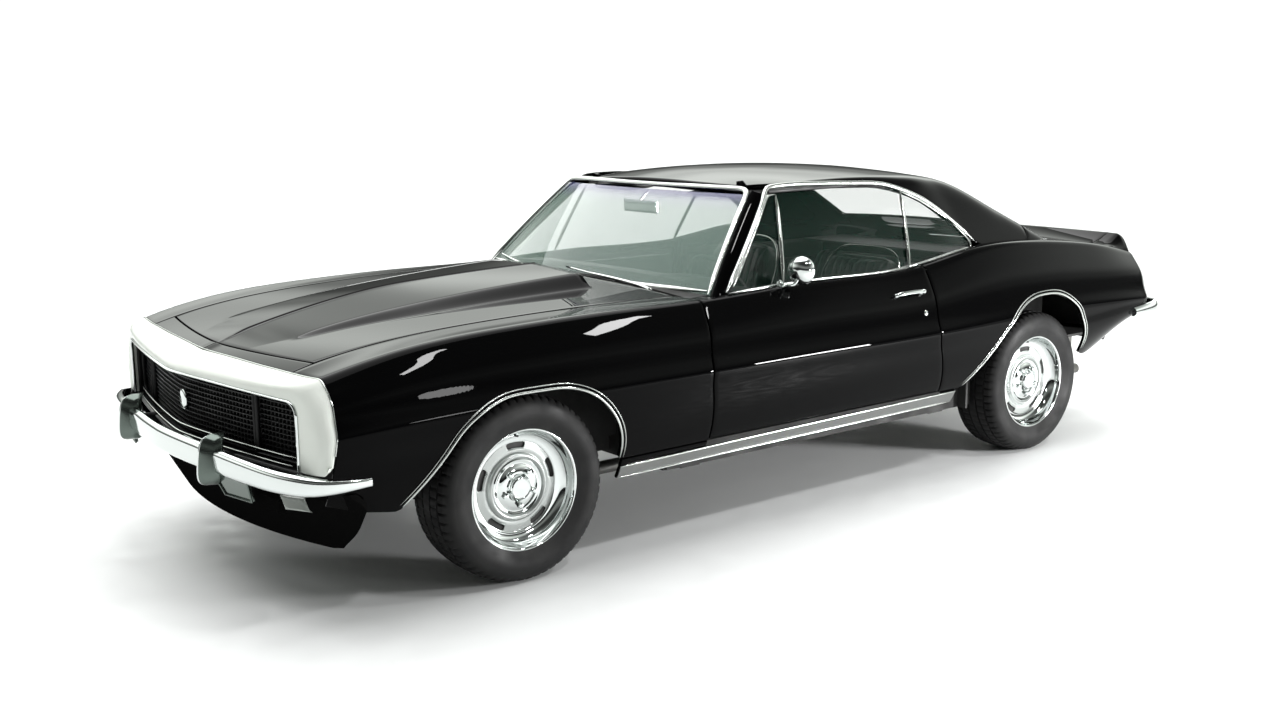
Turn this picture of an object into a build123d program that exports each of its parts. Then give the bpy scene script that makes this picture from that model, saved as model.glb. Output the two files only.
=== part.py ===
from build123d import *
import os
from math import cos, radians, sin

# Two-door hardtop coupe. X runs rearward, Y to the car's right, Z up. The origin is on the ground,
# under the middle of the car. Sizes are in millimetres.

# Driving dimensions
LENGTH = 4690
HALF_WIDTH = 921
ROOF_Z = 1306
WHEELBASE = 2746
FRONT_AXLE_X = -1413
REAR_AXLE_X = FRONT_AXLE_X + WHEELBASE
TRACK = 1499
TYRE_R = 320
TYRE_WIDTH = 235
RIM_R = 196
RIM_WIDTH = 190
RIM_WALL = 7
BELT_Z = 888
SILL_Z = 285
FLOOR_Z = 245
FLOOR_T = 15

# Walls and clearances
PANEL_T = 14
LID_T = 24
DOOR_SKIN = 6
NOSE_T = 26
GLASS_T = 6
GLASS_SET = 4
ROOF_T = 22
GAP = 6
DOOR_GAP = 7
SEAT_GAP = 0.3
PIN_FIT = 0.05

# Ends of the body
FRONT_X = -LENGTH / 2
REAR_X = LENGTH / 2
BUMPER_STAND = 73
NOSE_X = FRONT_X + BUMPER_STAND
TAIL_X = REAR_X - BUMPER_STAND
NOSE_SEAM_X = NOSE_X + 232

# Door: its edges in side view, as (x at the belt, x at the crease, x at the sill)
CREASE_Z = 632
DOOR_FRONT = (-600, -651, -622)
DOOR_REAR = (600, 588, 665)
DOOR_BOTTOM_Z = 372
DOOR_INNER_Y = 745
DOOR_FLANGE = 80
DOOR_HINGE_X = DOOR_FRONT[1] + DOOR_FLANGE
DOOR_HINGE_Y = HALF_WIDTH - 18
DOOR_STEP = 22
PILLAR_OUT_Y = 765
COWL_HALF = DOOR_INNER_Y - 7

# Hood and lid
HOOD_FRONT_X = NOSE_X + 170
HOOD_FRONT_HALF = 612
HOOD_REAR_HALF = 674
HOOD_REAR_X = -640
LID_FRONT_X = 1700
LID_REAR_X = TAIL_X - 32
LID_HALF = 617
HINGE_SET = 100
HINGE_RISE = 26
SWING_GAP = 8.5
EDGE_T = 8
EDGE_RUN = 18
HINGE_Y = 560
DECK_HALF = 735

# Wheels and steering
KINGPIN_Y = 655
KINGPIN_R = 10
SPINDLE_R = 15
APRON_Y = 455
RAIL_IN_Y = 330
RAIL_OUT_Y = 410

# Body sections, one row a station: x, then half width and height of the sill, of the side crease and
# of the shoulder, then height on the centre line.
STATIONS = [
    (NOSE_X - 30, 790, 440, 862, 600, 735, 688, 700),
    (NOSE_X + 92, 812, 410, 882, 606, 768, 740, 754),
    (NOSE_X + 190, 825, 370, 895, 612, 787, 771, 786),
    (FRONT_AXLE_X - 430, 832, 330, HALF_WIDTH - 17, 622, 798, 824, 830),
    (FRONT_AXLE_X, 832, SILL_Z + 15, HALF_WIDTH - 8, 630, 802, 859, 870),
    (FRONT_AXLE_X + 413, 826, SILL_Z, HALF_WIDTH - 2, CREASE_Z, 802, 868, 891),
    (HOOD_REAR_X + 40, 818, SILL_Z, HALF_WIDTH, CREASE_Z, 802, 869, 902),
    (0, 815, SILL_Z + 4, HALF_WIDTH, CREASE_Z, 802, BELT_Z, 905),
    (DOOR_REAR[0] - 60, 815, SILL_Z + 8, HALF_WIDTH, CREASE_Z, 802, BELT_Z + 6, 912),
    (REAR_AXLE_X - 400, 820, SILL_Z + 14, HALF_WIDTH - 2, 638, 800, 946, 958),
    (REAR_AXLE_X, 830, 330, HALF_WIDTH - 6, 650, 790, 950, 968),
    (REAR_AXLE_X + 402, 832, 398, HALF_WIDTH - 18, 644, 776, 917, 944),
    (REAR_AXLE_X + 717, 826, 520, 888, 632, 766, 868, 896),
    (TAIL_X + 30, 795, 572, 860, 615, 748, 806, 832),
]
SIDE_BULGE = 24
SHOULDER_BULGE = 20

# Greenhouse outline at two heights. Points: windshield centre, its corner, start of the side glass,
# end of the side glass, rear corner.
GLASS_BASE_Z = 860
GLASS_TOP_Z = 1320
GLASS_BASE = [(-646, 0), (-539, 760), (-486, 779), (756, 779), (1694, 708)]
GLASS_TOP = [(-118, 0), (-95, 556), (-70, 566), (690, 562), (1300, 500)]
# Roof heights, one row a station: x, height on the centre line, drop at the crown's edge.
CROWN_HALF = 850
CROWN = [
    (-700, ROOF_Z - 90, 70),
    (-190, ROOF_Z - 38, 74),
    (250, ROOF_Z, 84),
    (700, ROOF_Z - 8, 80),
    (1050, ROOF_Z - 46, 60),
    (1640, 955, 30),
    (1720, 905, 30),
]


def bulged(p, q, bulge):
    """Return the middle point of an arc from p up to q that bulges away from the car's left side."""
    run = (q[0] - p[0], q[1] - p[1])
    size = (run[0] ** 2 + run[1] ** 2) ** 0.5
    return ((p[0] + q[0]) / 2 - run[1] / size * bulge, (p[1] + q[1]) / 2 + run[0] / size * bulge)


def body_section(row, inset, drop):
    """Draw one cross-section of the lower body, drawn in by the inset and open below by the drop."""
    x, sill_y, sill_z, crease_y, crease_z, shoulder_y, shoulder_z, top_z = row
    sill = (inset - sill_y, sill_z - drop)
    crease = (inset - crease_y, crease_z)
    shoulder = (inset - shoulder_y, shoulder_z - inset)
    side_mid = bulged(sill, crease, SIDE_BULGE)
    top_mid = bulged(crease, shoulder, SHOULDER_BULGE)
    with BuildSketch(Plane.YZ.offset(x)) as section:
        with BuildLine():
            ThreePointArc(sill, side_mid, crease)
            ThreePointArc(crease, top_mid, shoulder)
            ThreePointArc(shoulder, (0, top_z - inset), (-shoulder[0], shoulder[1]))
            ThreePointArc((-shoulder[0], shoulder[1]), (-top_mid[0], top_mid[1]), (-crease[0], crease[1]))
            ThreePointArc((-crease[0], crease[1]), (-side_mid[0], side_mid[1]), (-sill[0], sill[1]))
            Line((-sill[0], sill[1]), sill)
        make_face()
    return section.sketch


def plan_outline(grow, plane):
    """Draw the body's outline from above: a bowed nose, round corners and a nearly straight tail."""
    nose_corner = (NOSE_X + 118 - grow, 740 + grow / 2)
    nose_side = (NOSE_X + 236 - grow / 2, 904 + grow)
    tail_corner = (TAIL_X - 14 + grow, 760 + grow / 2)
    tail_side = (TAIL_X - 120 + grow / 2, 892 + grow)
    side_y = HALF_WIDTH + 40 + grow
    with BuildSketch(plane) as outline:
        with BuildLine():
            ThreePointArc((nose_corner[0], -nose_corner[1]), (NOSE_X - grow, 0), nose_corner)
            ThreePointArc(nose_corner, (nose_corner[0] + 34, nose_side[1] - 62), nose_side)
            Polyline(nose_side, (nose_side[0] + 60, side_y), (tail_side[0] - 60, side_y), tail_side)
            ThreePointArc(tail_side, (tail_corner[0] - 32, tail_side[1] - 42), tail_corner)
            ThreePointArc(tail_corner, (TAIL_X + grow, 0), (tail_corner[0], -tail_corner[1]))
            ThreePointArc((tail_corner[0], -tail_corner[1]),
                          (tail_corner[0] - 32, 42 - tail_side[1]), (tail_side[0], -tail_side[1]))
            Polyline((tail_side[0], -tail_side[1]), (tail_side[0] - 60, -side_y),
                     (nose_side[0] + 60, -side_y), (nose_side[0], -nose_side[1]))
            ThreePointArc((nose_side[0], -nose_side[1]), (nose_corner[0] + 34, 62 - nose_side[1]),
                          (nose_corner[0], -nose_corner[1]))
        make_face()
    return outline.sketch


def body_form(inset=0, drop=0):
    """Return the lower body's solid form, drawn in by the inset. A drop opens it below."""
    with BuildPart() as form:
        loft(sections=[body_section(row, inset, drop) for row in STATIONS], ruled=True)
        extrude(plan_outline(-inset, Plane.XY.offset(-400)), amount=1800, mode=Mode.INTERSECT)
    return form.part


def body_shell(wall):
    """Return the lower body's skin, as thick as the wall and open below."""
    with BuildPart() as skin:
        add(body_form())
        add(body_form(wall, 300), mode=Mode.SUBTRACT)
    return skin.part


def glass_outline(points, z, inset):
    """Draw the greenhouse's outline at one height."""
    centre, corner, side_start, side_end, rear = points
    corner = (corner[0] + inset * 0.6, corner[1] - inset * 0.8)
    side_start = (side_start[0] + inset, side_start[1] - inset)
    side_end = (side_end[0], side_end[1] - inset)
    rear = (rear[0], rear[1] - inset)
    half = [corner, side_start, side_end, rear]
    with BuildSketch(Plane.XY.offset(z)) as outline:
        with BuildLine():
            ThreePointArc((corner[0], -corner[1]), (centre[0] + inset, 0), corner)
            Polyline(*half, *[(x, -y) for x, y in reversed(half)])
        make_face()
    return outline.sketch


def crown_section(row, inset):
    """Draw one cross-section of the roof's crown, closed far below the roof."""
    x, top_z, edge_drop = row
    edge_z = top_z - edge_drop - inset
    with BuildSketch(Plane.YZ.offset(x)) as section:
        with BuildLine():
            ThreePointArc((-CROWN_HALF, edge_z), (0, top_z - inset), (CROWN_HALF, edge_z))
            Polyline((CROWN_HALF, edge_z), (CROWN_HALF, 500), (-CROWN_HALF, 500), (-CROWN_HALF, edge_z))
        make_face()
    return section.sketch


def glass_form(inset=0):
    """Return the solid form of windows and roof above the belt, drawn in by the inset."""
    outlines = [glass_outline(GLASS_BASE, GLASS_BASE_Z, inset),
                glass_outline(GLASS_TOP, GLASS_TOP_Z, inset)]
    with BuildPart() as form:
        loft(sections=outlines, ruled=True)
        loft(sections=[crown_section(row, inset) for row in CROWN], ruled=True, mode=Mode.INTERSECT)
    return form.part


def side_prism(points, y_from, y_to):
    """Return a prism whose outline is drawn in side view, between two widths on the left side."""
    with BuildPart() as prism:
        with BuildSketch(Plane.XZ.offset(y_from)):
            with BuildLine():
                Polyline(*points, close=True)
            make_face()
        extrude(amount=y_to - y_from)
    return prism.part


def plan_prism(points, z_from, z_to):
    """Return a prism whose outline is drawn from above, between two heights."""
    with BuildPart() as prism:
        with BuildSketch(Plane.XY.offset(z_from)):
            with BuildLine():
                Polyline(*points, close=True)
            make_face()
        extrude(amount=z_to - z_from)
    return prism.part


def block(x_from, x_to, y_from, y_to, z_from, z_to):
    """Return a box given by its low and high sides."""
    with BuildPart() as box:
        with Locations(((x_from + x_to) / 2, (y_from + y_to) / 2, (z_from + z_to) / 2)):
            Box(x_to - x_from, y_to - y_from, z_to - z_from)
    return box.part


def rod(start, end, radius):
    """Return a round bar between two points."""
    way = Vector(*end) - Vector(*start)
    with BuildPart() as bar:
        with BuildSketch(Plane(origin=start, z_dir=way)):
            Circle(radius)
        extrude(amount=way.length)
    return bar.part


def mirrored(piece):
    """Return the piece's twin on the other side of the car."""
    with BuildPart() as twin:
        mirror(piece, about=Plane.XZ)
    return twin.part


def door_outline(grow_front, grow_rear, grow_low):
    """Return the door's outline in side view, grown on its three sides."""
    top_z = BELT_Z + 80
    return [
        (DOOR_FRONT[0] - grow_front, top_z), (DOOR_FRONT[1] - grow_front, CREASE_Z),
        (DOOR_FRONT[2] - grow_front, DOOR_BOTTOM_Z - grow_low),
        (DOOR_REAR[2] + grow_rear, DOOR_BOTTOM_Z - grow_low),
        (DOOR_REAR[1] + grow_rear, CREASE_Z), (DOOR_REAR[0] + grow_rear, top_z),
    ]


def arch_cut(axle_x, front_run, rear_run, top_z, lean):
    """Return the wheel opening's cutter: raked front edge, flat top and steep rear edge."""
    with BuildPart() as cutter:
        with BuildSketch(Plane.XZ.offset(400)):
            with BuildLine():
                Polyline((axle_x - front_run - 100, 150), (axle_x - front_run, 300),
                         (axle_x - lean - 150, top_z - 112))
                ThreePointArc((axle_x - lean - 150, top_z - 112), (axle_x - lean - 62, top_z - 40),
                              (axle_x - lean + 60, top_z))
                Line((axle_x - lean + 60, top_z), (axle_x + rear_run - 270, top_z))
                ThreePointArc((axle_x + rear_run - 270, top_z), (axle_x + rear_run - 78, top_z - 82),
                              (axle_x + rear_run, top_z - 245))
                Polyline((axle_x + rear_run, top_z - 245), (axle_x + rear_run, 150),
                         (axle_x - front_run - 100, 150))
            make_face()
        extrude(amount=700)
    return cutter.part


def end_band(grow, thick, z_from, z_to, x_from, x_to, half):
    """Return a band that follows the body's outline from above, cut to a length and half width."""
    with BuildPart() as band:
        extrude(plan_outline(grow, Plane.XY.offset(z_from)), amount=z_to - z_from)
        extrude(plan_outline(grow - thick, Plane.XY.offset(z_from)), amount=z_to - z_from,
                mode=Mode.SUBTRACT)
        add(block(x_from, x_to, -half, half, z_from, z_to), mode=Mode.INTERSECT)
    return band.part


low_body = body_form()
inner_form = body_form(PANEL_T, 300)
shell = body_shell(PANEL_T)
lid_shell = body_shell(LID_T)
edge_shell = body_shell(EDGE_T)
front_arch = arch_cut(FRONT_AXLE_X, 485, 372, 657, 130)
rear_arch = arch_cut(REAR_AXLE_X, 595, 314, 722, 118)

# Hood region from above, and the strip that it leaves to the fenders
hood_corner_x = HOOD_FRONT_X + 72
HOOD_PLAN = [(hood_corner_x, -HOOD_FRONT_HALF), (HOOD_FRONT_X, 0), (hood_corner_x, HOOD_FRONT_HALF),
             (HOOD_REAR_X, HOOD_REAR_HALF), (HOOD_REAR_X, -HOOD_REAR_HALF)]
hood_gap_zone = plan_prism([(hood_corner_x - GAP, -HOOD_FRONT_HALF - GAP), (HOOD_FRONT_X - GAP, 0),
                            (hood_corner_x - GAP, HOOD_FRONT_HALF + GAP),
                            (HOOD_REAR_X + SWING_GAP, HOOD_REAR_HALF + GAP),
                            (HOOD_REAR_X + SWING_GAP, -HOOD_REAR_HALF - GAP)], 600, 1200)

# Fender: skin from the nose seam to the door, outboard of the hood, with the wheel opening
with BuildPart() as fender_left:
    add(shell)
    add(side_prism([(NOSE_SEAM_X, 1000), (NOSE_SEAM_X, 200), (DOOR_FRONT[2] - DOOR_GAP, 200),
                    (DOOR_FRONT[2] - DOOR_GAP, DOOR_BOTTOM_Z), (DOOR_FRONT[1] - DOOR_GAP, CREASE_Z),
                    (DOOR_FRONT[0] - DOOR_GAP, BELT_Z + 80), (DOOR_FRONT[0] - DOOR_GAP, 1000)],
                   300, 1000), mode=Mode.INTERSECT)
    add(hood_gap_zone, mode=Mode.SUBTRACT)
    add(front_arch, mode=Mode.SUBTRACT)

# Nose: a thick band round the grille opening
GRILLE_HALF = 738
GRILLE_LOW_Z = 482
GRILLE_TOP_Z = 694
with BuildPart() as nose_panel:
    add(body_shell(NOSE_T))
    add(block(NOSE_X - 100, NOSE_SEAM_X, -HALF_WIDTH, HALF_WIDTH, 0, 1000), mode=Mode.INTERSECT)
    add(hood_gap_zone, mode=Mode.SUBTRACT)
    with BuildSketch(Plane.YZ.offset(NOSE_X - 100)):
        with Locations((0, (GRILLE_LOW_Z + GRILLE_TOP_Z) / 2)):
            RectangleRounded(2 * GRILLE_HALF, GRILLE_TOP_Z - GRILLE_LOW_Z, 30)
    extrude(amount=250, mode=Mode.SUBTRACT)

# Grille: a bowed wall with bars inside the nose opening, and plain covers at its ends
GRILLE_SET = 62
GRILLE_T = 14
GRILLE_BARS = 6
grille_rear_x = NOSE_SEAM_X - 20
COVER_IN_Y = 494
with BuildPart() as grille:
    add(end_band(-GRILLE_SET, GRILLE_T, GRILLE_LOW_Z - 12, GRILLE_TOP_Z + 12, NOSE_X - 100, grille_rear_x,
                 GRILLE_HALF + 16))
    add(end_band(-GRILLE_SET + 8, 12, GRILLE_LOW_Z + 14, GRILLE_TOP_Z - 14, NOSE_X - 100, grille_rear_x, 700))
    add(block(NOSE_X - 100, NOSE_SEAM_X, -COVER_IN_Y, COVER_IN_Y, GRILLE_LOW_Z - 1, GRILLE_TOP_Z + 1),
        mode=Mode.SUBTRACT)
    add(end_band(-GRILLE_SET, GRILLE_T, GRILLE_LOW_Z - 12, GRILLE_TOP_Z + 12, NOSE_X - 100, grille_rear_x,
                 COVER_IN_Y + 6))
    for bar in range(GRILLE_BARS):
        bar_z = GRILLE_LOW_Z + (GRILLE_TOP_Z - GRILLE_LOW_Z) * (bar + 0.5) / GRILLE_BARS
        add(end_band(-GRILLE_SET + 10, 14, bar_z - 4, bar_z + 4, NOSE_X - 100, grille_rear_x, COVER_IN_Y))
    for frame_z in (GRILLE_LOW_Z - 12, GRILLE_TOP_Z):
        add(end_band(-NOSE_T + 4, GRILLE_SET - NOSE_T + 12, frame_z, frame_z + 12, NOSE_X - 100, grille_rear_x,
                     GRILLE_HALF + 16))
    add(nose_panel.part, mode=Mode.SUBTRACT)

# Hinge arm for the hood and the lid: from its pin down, along under the panel and up to it
ARM_T = 14
ARM_RUN = 130
HOOD_ARM_DROP = 84
LID_ARM_DROP = 105
ARM_W = 16
HINGE_PIN_R = 6


def gooseneck(pin_x, pin_z, side_y, way, lift, drop):
    """Return the moving arm of one hinge, bored for its pin: down, along and up to its panel."""
    y_from = side_y - ARM_W / 2
    y_to = side_y + ARM_W / 2
    reach = way * ARM_RUN
    with BuildPart() as arm:
        with BuildSketch(Plane.XZ.offset(-y_to)):
            with Locations((pin_x, pin_z)):
                Circle(HINGE_PIN_R + 7)
            with BuildLine():
                Polyline((pin_x - way * ARM_T / 2, pin_z), (pin_x - way * ARM_T / 2, pin_z - drop),
                         (pin_x + reach, pin_z - drop), (pin_x + reach, pin_z + lift),
                         (pin_x + reach - way * ARM_T, pin_z + lift),
                         (pin_x + reach - way * ARM_T, pin_z - drop + ARM_T),
                         (pin_x + way * ARM_T / 2, pin_z - drop + ARM_T),
                         (pin_x + way * ARM_T / 2, pin_z), close=True)
            make_face()
        extrude(amount=y_to - y_from)
        with Locations(Location((pin_x, side_y, pin_z), (90, 0, 0))):
            Cylinder(HINGE_PIN_R + PIN_FIT, 2 * ARM_W, mode=Mode.SUBTRACT)
    return arm.part


def hinge_bracket(pin_x, pin_z, side_y, top_z, x_from, x_to):
    """Return the fixed cheeks and pin of one hinge, hung under the panel beside the gap."""
    cheek = ARM_W / 2 + 1
    with BuildPart() as bracket:
        for side in (-1, 1):
            y_in = side_y + side * cheek
            y_out = side_y + side * (cheek + 8)
            add(block(x_from, x_to, min(y_in, y_out), max(y_in, y_out), pin_z - 14, top_z))
        add(rod((pin_x, side_y - cheek - 8, pin_z), (pin_x, side_y + cheek + 8, pin_z), HINGE_PIN_R))
    return bracket.part


# Hood: a thick panel with a raised duct that is open to the rear
HOOD_HINGE_X = HOOD_REAR_X + HINGE_SET
HOOD_HINGE_Z = 882 - HINGE_RISE
SCOOP_REAR_X = -700
SCOOP_REAR_HALF = 262
SCOOP_TIP_X = -1930
SCOOP_RISE = 52
with BuildPart() as hood_edge:
    add(edge_shell)
    add(plan_prism(HOOD_PLAN, 600, 1200), mode=Mode.INTERSECT)
    add(block(HOOD_REAR_X - EDGE_RUN, HOOD_REAR_X, -HOOD_REAR_HALF, HOOD_REAR_HALF, 700, 1000),
        mode=Mode.INTERSECT)
with BuildPart() as hood:
    add(lid_shell)
    add(plan_prism(HOOD_PLAN, 600, 1200), mode=Mode.INTERSECT)
    with BuildSketch(Plane.YZ.offset(SCOOP_TIP_X)) as scoop_tip:
        with BuildLine():
            Polyline((-60, 812), (-40, 824), (40, 824), (60, 812), close=True)
        make_face()
    with BuildSketch(Plane.YZ.offset(SCOOP_REAR_X)) as scoop_rear:
        with BuildLine():
            Polyline((-SCOOP_REAR_HALF - 28, 874), (-SCOOP_REAR_HALF, 890 + SCOOP_RISE - 8))
            ThreePointArc((-SCOOP_REAR_HALF, 890 + SCOOP_RISE - 8), (0, 896 + SCOOP_RISE),
                          (SCOOP_REAR_HALF, 890 + SCOOP_RISE - 8))
            Polyline((SCOOP_REAR_HALF, 890 + SCOOP_RISE - 8), (SCOOP_REAR_HALF + 28, 874),
                     (-SCOOP_REAR_HALF - 28, 874))
        make_face()
    loft(sections=[scoop_tip.sketch, scoop_rear.sketch], ruled=True)
    add(block(HOOD_REAR_X - EDGE_RUN, HOOD_REAR_X + 1, -HOOD_REAR_HALF, HOOD_REAR_HALF, 700, 1000),
        mode=Mode.SUBTRACT)
    add(hood_edge.part)
    add(block(SCOOP_REAR_X - 160, SCOOP_REAR_X + 10, -SCOOP_REAR_HALF + 22, SCOOP_REAR_HALF - 22,
              896, 890 + SCOOP_RISE - 20), mode=Mode.SUBTRACT)
    for side in (-1, 1):
        add(gooseneck(HOOD_HINGE_X, HOOD_HINGE_Z, side * HINGE_Y, -1, 12, HOOD_ARM_DROP))

# Trunk lid with its raised rear lip
LID_HINGE_X = LID_FRONT_X - HINGE_SET
LID_HINGE_Z = 930 - HINGE_RISE
LIP_TOP_Z = 930
lid_zone = plan_prism([(LID_FRONT_X, -LID_HALF), (LID_REAR_X, -LID_HALF), (LID_REAR_X, LID_HALF),
                       (LID_FRONT_X, LID_HALF)], 700, 1200)
lid_gap_zone = plan_prism([(LID_FRONT_X - SWING_GAP, -LID_HALF - GAP), (LID_REAR_X + GAP, -LID_HALF - GAP),
                           (LID_REAR_X + GAP, LID_HALF + GAP), (LID_FRONT_X - SWING_GAP, LID_HALF + GAP)],
                          700, 1200)


def rear_lip(y_from, y_to):
    """Return a stretch of the raised lip along the rear edge of the body."""
    with BuildPart() as lip:
        with BuildSketch(Plane.XZ.offset(-y_to)):
            with BuildLine():
                Polyline((LID_REAR_X - 190, 868), (LID_REAR_X - 190, 893), (LID_REAR_X - 26, LIP_TOP_Z),
                         (LID_REAR_X - 8, LIP_TOP_Z - 6), (LID_REAR_X, LIP_TOP_Z - 70),
                         (LID_REAR_X, 836), (LID_REAR_X - 40, 836), close=True)
            make_face()
        extrude(amount=y_to - y_from)
    return lip.part


with BuildPart() as trunk_lid:
    add(lid_shell)
    add(block(LID_FRONT_X - 1, LID_FRONT_X + EDGE_RUN, -LID_HALF, LID_HALF, 700, 1100), mode=Mode.SUBTRACT)
    add(edge_shell)
    add(lid_zone, mode=Mode.INTERSECT)
    add(rear_lip(-LID_HALF, LID_HALF))
    for side in (-1, 1):
        add(gooseneck(LID_HINGE_X, LID_HINGE_Z, side * HINGE_Y, 1, 14, LID_ARM_DROP))

# Quarter panel: skin behind the door, with the top that carries the side glass and the lip's end
with BuildPart() as quarter_left:
    add(shell)
    add(side_prism([(DOOR_REAR[0] + GAP, 1100), (DOOR_REAR[0] + GAP, BELT_Z + 80),
                    (DOOR_REAR[1] + GAP, CREASE_Z), (DOOR_REAR[2] + GAP, DOOR_BOTTOM_Z),
                    (DOOR_REAR[2] + GAP, 200), (REAR_X, 200), (REAR_X, 1100)], 200, 1000),
        mode=Mode.INTERSECT)
    add(block(0, LID_FRONT_X - SWING_GAP, -DECK_HALF, 0, 600, 1100), mode=Mode.SUBTRACT)
    add(block(LID_FRONT_X - 100, REAR_X, -LID_HALF - GAP, 0, 200, 1100), mode=Mode.SUBTRACT)
    add(rear_lip(-LID_HALF - GAP - 104, -LID_HALF - GAP))
    add(rear_arch, mode=Mode.SUBTRACT)

# Tail panel with its lamp boxes
LAMP_IN_Y = 300
LAMP_OUT_Y = 590
LAMP_LOW_Z = 660
LAMP_TOP_Z = 780
with BuildPart() as tail_panel:
    add(shell)
    add(block(TAIL_X - 200, REAR_X, -LID_HALF - GAP, LID_HALF + GAP, 200, 1100), mode=Mode.INTERSECT)
    add(lid_gap_zone, mode=Mode.SUBTRACT)
    for side in (-1, 1):
        add(block(TAIL_X - 20, TAIL_X + 12, min(side * LAMP_IN_Y, side * LAMP_OUT_Y),
                  max(side * LAMP_IN_Y, side * LAMP_OUT_Y), LAMP_LOW_Z, LAMP_TOP_Z))

# Deck behind the rear window, parcel shelf, bulkhead and the lid's hinge cheeks
SHELF_FRONT_X = 1330
SHELF_Z = 862
BULKHEAD_X = 1420
TRUNK_FLOOR_Z = 420
deck_front_x = 1560
deck_rear_x = LID_FRONT_X - SWING_GAP
with BuildPart() as rear_deck:
    add(shell)
    add(block(deck_front_x, deck_rear_x, -DECK_HALF, DECK_HALF, 600, 1100), mode=Mode.INTERSECT)
    add(block(deck_front_x, deck_front_x + 12, -DECK_HALF, DECK_HALF, SHELF_Z, 1000))
    add(low_body, mode=Mode.INTERSECT)
    add(block(SHELF_FRONT_X, deck_front_x + 5, -DECK_HALF, DECK_HALF, SHELF_Z, SHELF_Z + 12))
    add(block(BULKHEAD_X, BULKHEAD_X + 12, -DECK_HALF + 160, DECK_HALF - 160, TRUNK_FLOOR_Z + 12, SHELF_Z))
    for side in (-1, 1):
        add(hinge_bracket(LID_HINGE_X, LID_HINGE_Z, side * HINGE_Y, 926, deck_front_x + 14, deck_rear_x))

# Floor: cabin floor with its tunnel, rockers, seat step, trunk floor and wheel houses
TUNNEL_HALF = 135
TUNNEL_TOP_Z = 440
STEP_X = 1010
FLOOR_FRONT_X = -728
ROCKER_TOP_Z = DOOR_BOTTOM_Z - GAP
HOUSE_IN_Y = 590
HOUSE_TOP_Z = 775
with BuildPart() as rocker:
    add(low_body)
    add(block(DOOR_FRONT[2] - DOOR_GAP, DOOR_REAR[2] + GAP, -HALF_WIDTH, HALF_WIDTH, 0, ROCKER_TOP_Z),
        mode=Mode.INTERSECT)
    add(block(FLOOR_FRONT_X - 100, REAR_X, -DOOR_INNER_Y + 10, DOOR_INNER_Y - 10, 0, 1000),
        mode=Mode.SUBTRACT)
JACK_X = (-600, 800)
JACK_Y = 700
JACK_PAD = (90, 60, 10)
with BuildPart() as floor_pan:
    add(block(TAIL_X - 60, TAIL_X, -HOUSE_IN_Y, HOUSE_IN_Y, TRUNK_FLOOR_Z, 600))
    add(inner_form, mode=Mode.INTERSECT)
    add(rocker.part)
    add(block(FLOOR_FRONT_X, STEP_X, -DOOR_INNER_Y, DOOR_INNER_Y, FLOOR_Z, FLOOR_Z + FLOOR_T))
    for side in (-1, 1):
        for jack_x in JACK_X:
            add(block(jack_x - JACK_PAD[0] / 2, jack_x + JACK_PAD[0] / 2, side * JACK_Y - JACK_PAD[1] / 2,
                      side * JACK_Y + JACK_PAD[1] / 2, FLOOR_Z - JACK_PAD[2], FLOOR_Z))
        add(block(FLOOR_FRONT_X, STEP_X, side * 740 - 6, side * 740 + 6, FLOOR_Z, ROCKER_TOP_Z))
    add(block(FLOOR_FRONT_X, STEP_X, -TUNNEL_HALF, TUNNEL_HALF, FLOOR_Z, TUNNEL_TOP_Z))
    add(block(FLOOR_FRONT_X - 1, STEP_X + 12, -TUNNEL_HALF + 12, TUNNEL_HALF - 12, FLOOR_Z - 1,
              TUNNEL_TOP_Z - 12), mode=Mode.SUBTRACT)
    add(block(STEP_X, STEP_X + 12, -HOUSE_IN_Y, HOUSE_IN_Y, FLOOR_Z, TRUNK_FLOOR_Z + 12))
    add(block(STEP_X, TAIL_X - 60, -HOUSE_IN_Y, HOUSE_IN_Y, TRUNK_FLOOR_Z, TRUNK_FLOOR_Z + 12))
    for side in (-1, 1):
        inner = side * (HOUSE_IN_Y - 12)
        add(block(STEP_X - 70, REAR_AXLE_X + 400, min(inner, side * HOUSE_IN_Y),
                  max(inner, side * HOUSE_IN_Y), TRUNK_FLOOR_Z, HOUSE_TOP_Z))
        add(block(STEP_X - 70, REAR_AXLE_X + 400, min(inner, side * 840), max(inner, side * 840),
                  HOUSE_TOP_Z - 12, HOUSE_TOP_Z))
        add(block(STEP_X - 82, STEP_X - 70, min(inner, side * 790), max(inner, side * 790),
                  FLOOR_Z, HOUSE_TOP_Z))
    add(block(STEP_X - 90, STEP_X + 12, -TUNNEL_HALF + 12, TUNNEL_HALF - 12, FLOOR_Z - 1, TRUNK_FLOOR_Z),
        mode=Mode.SUBTRACT)

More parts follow.
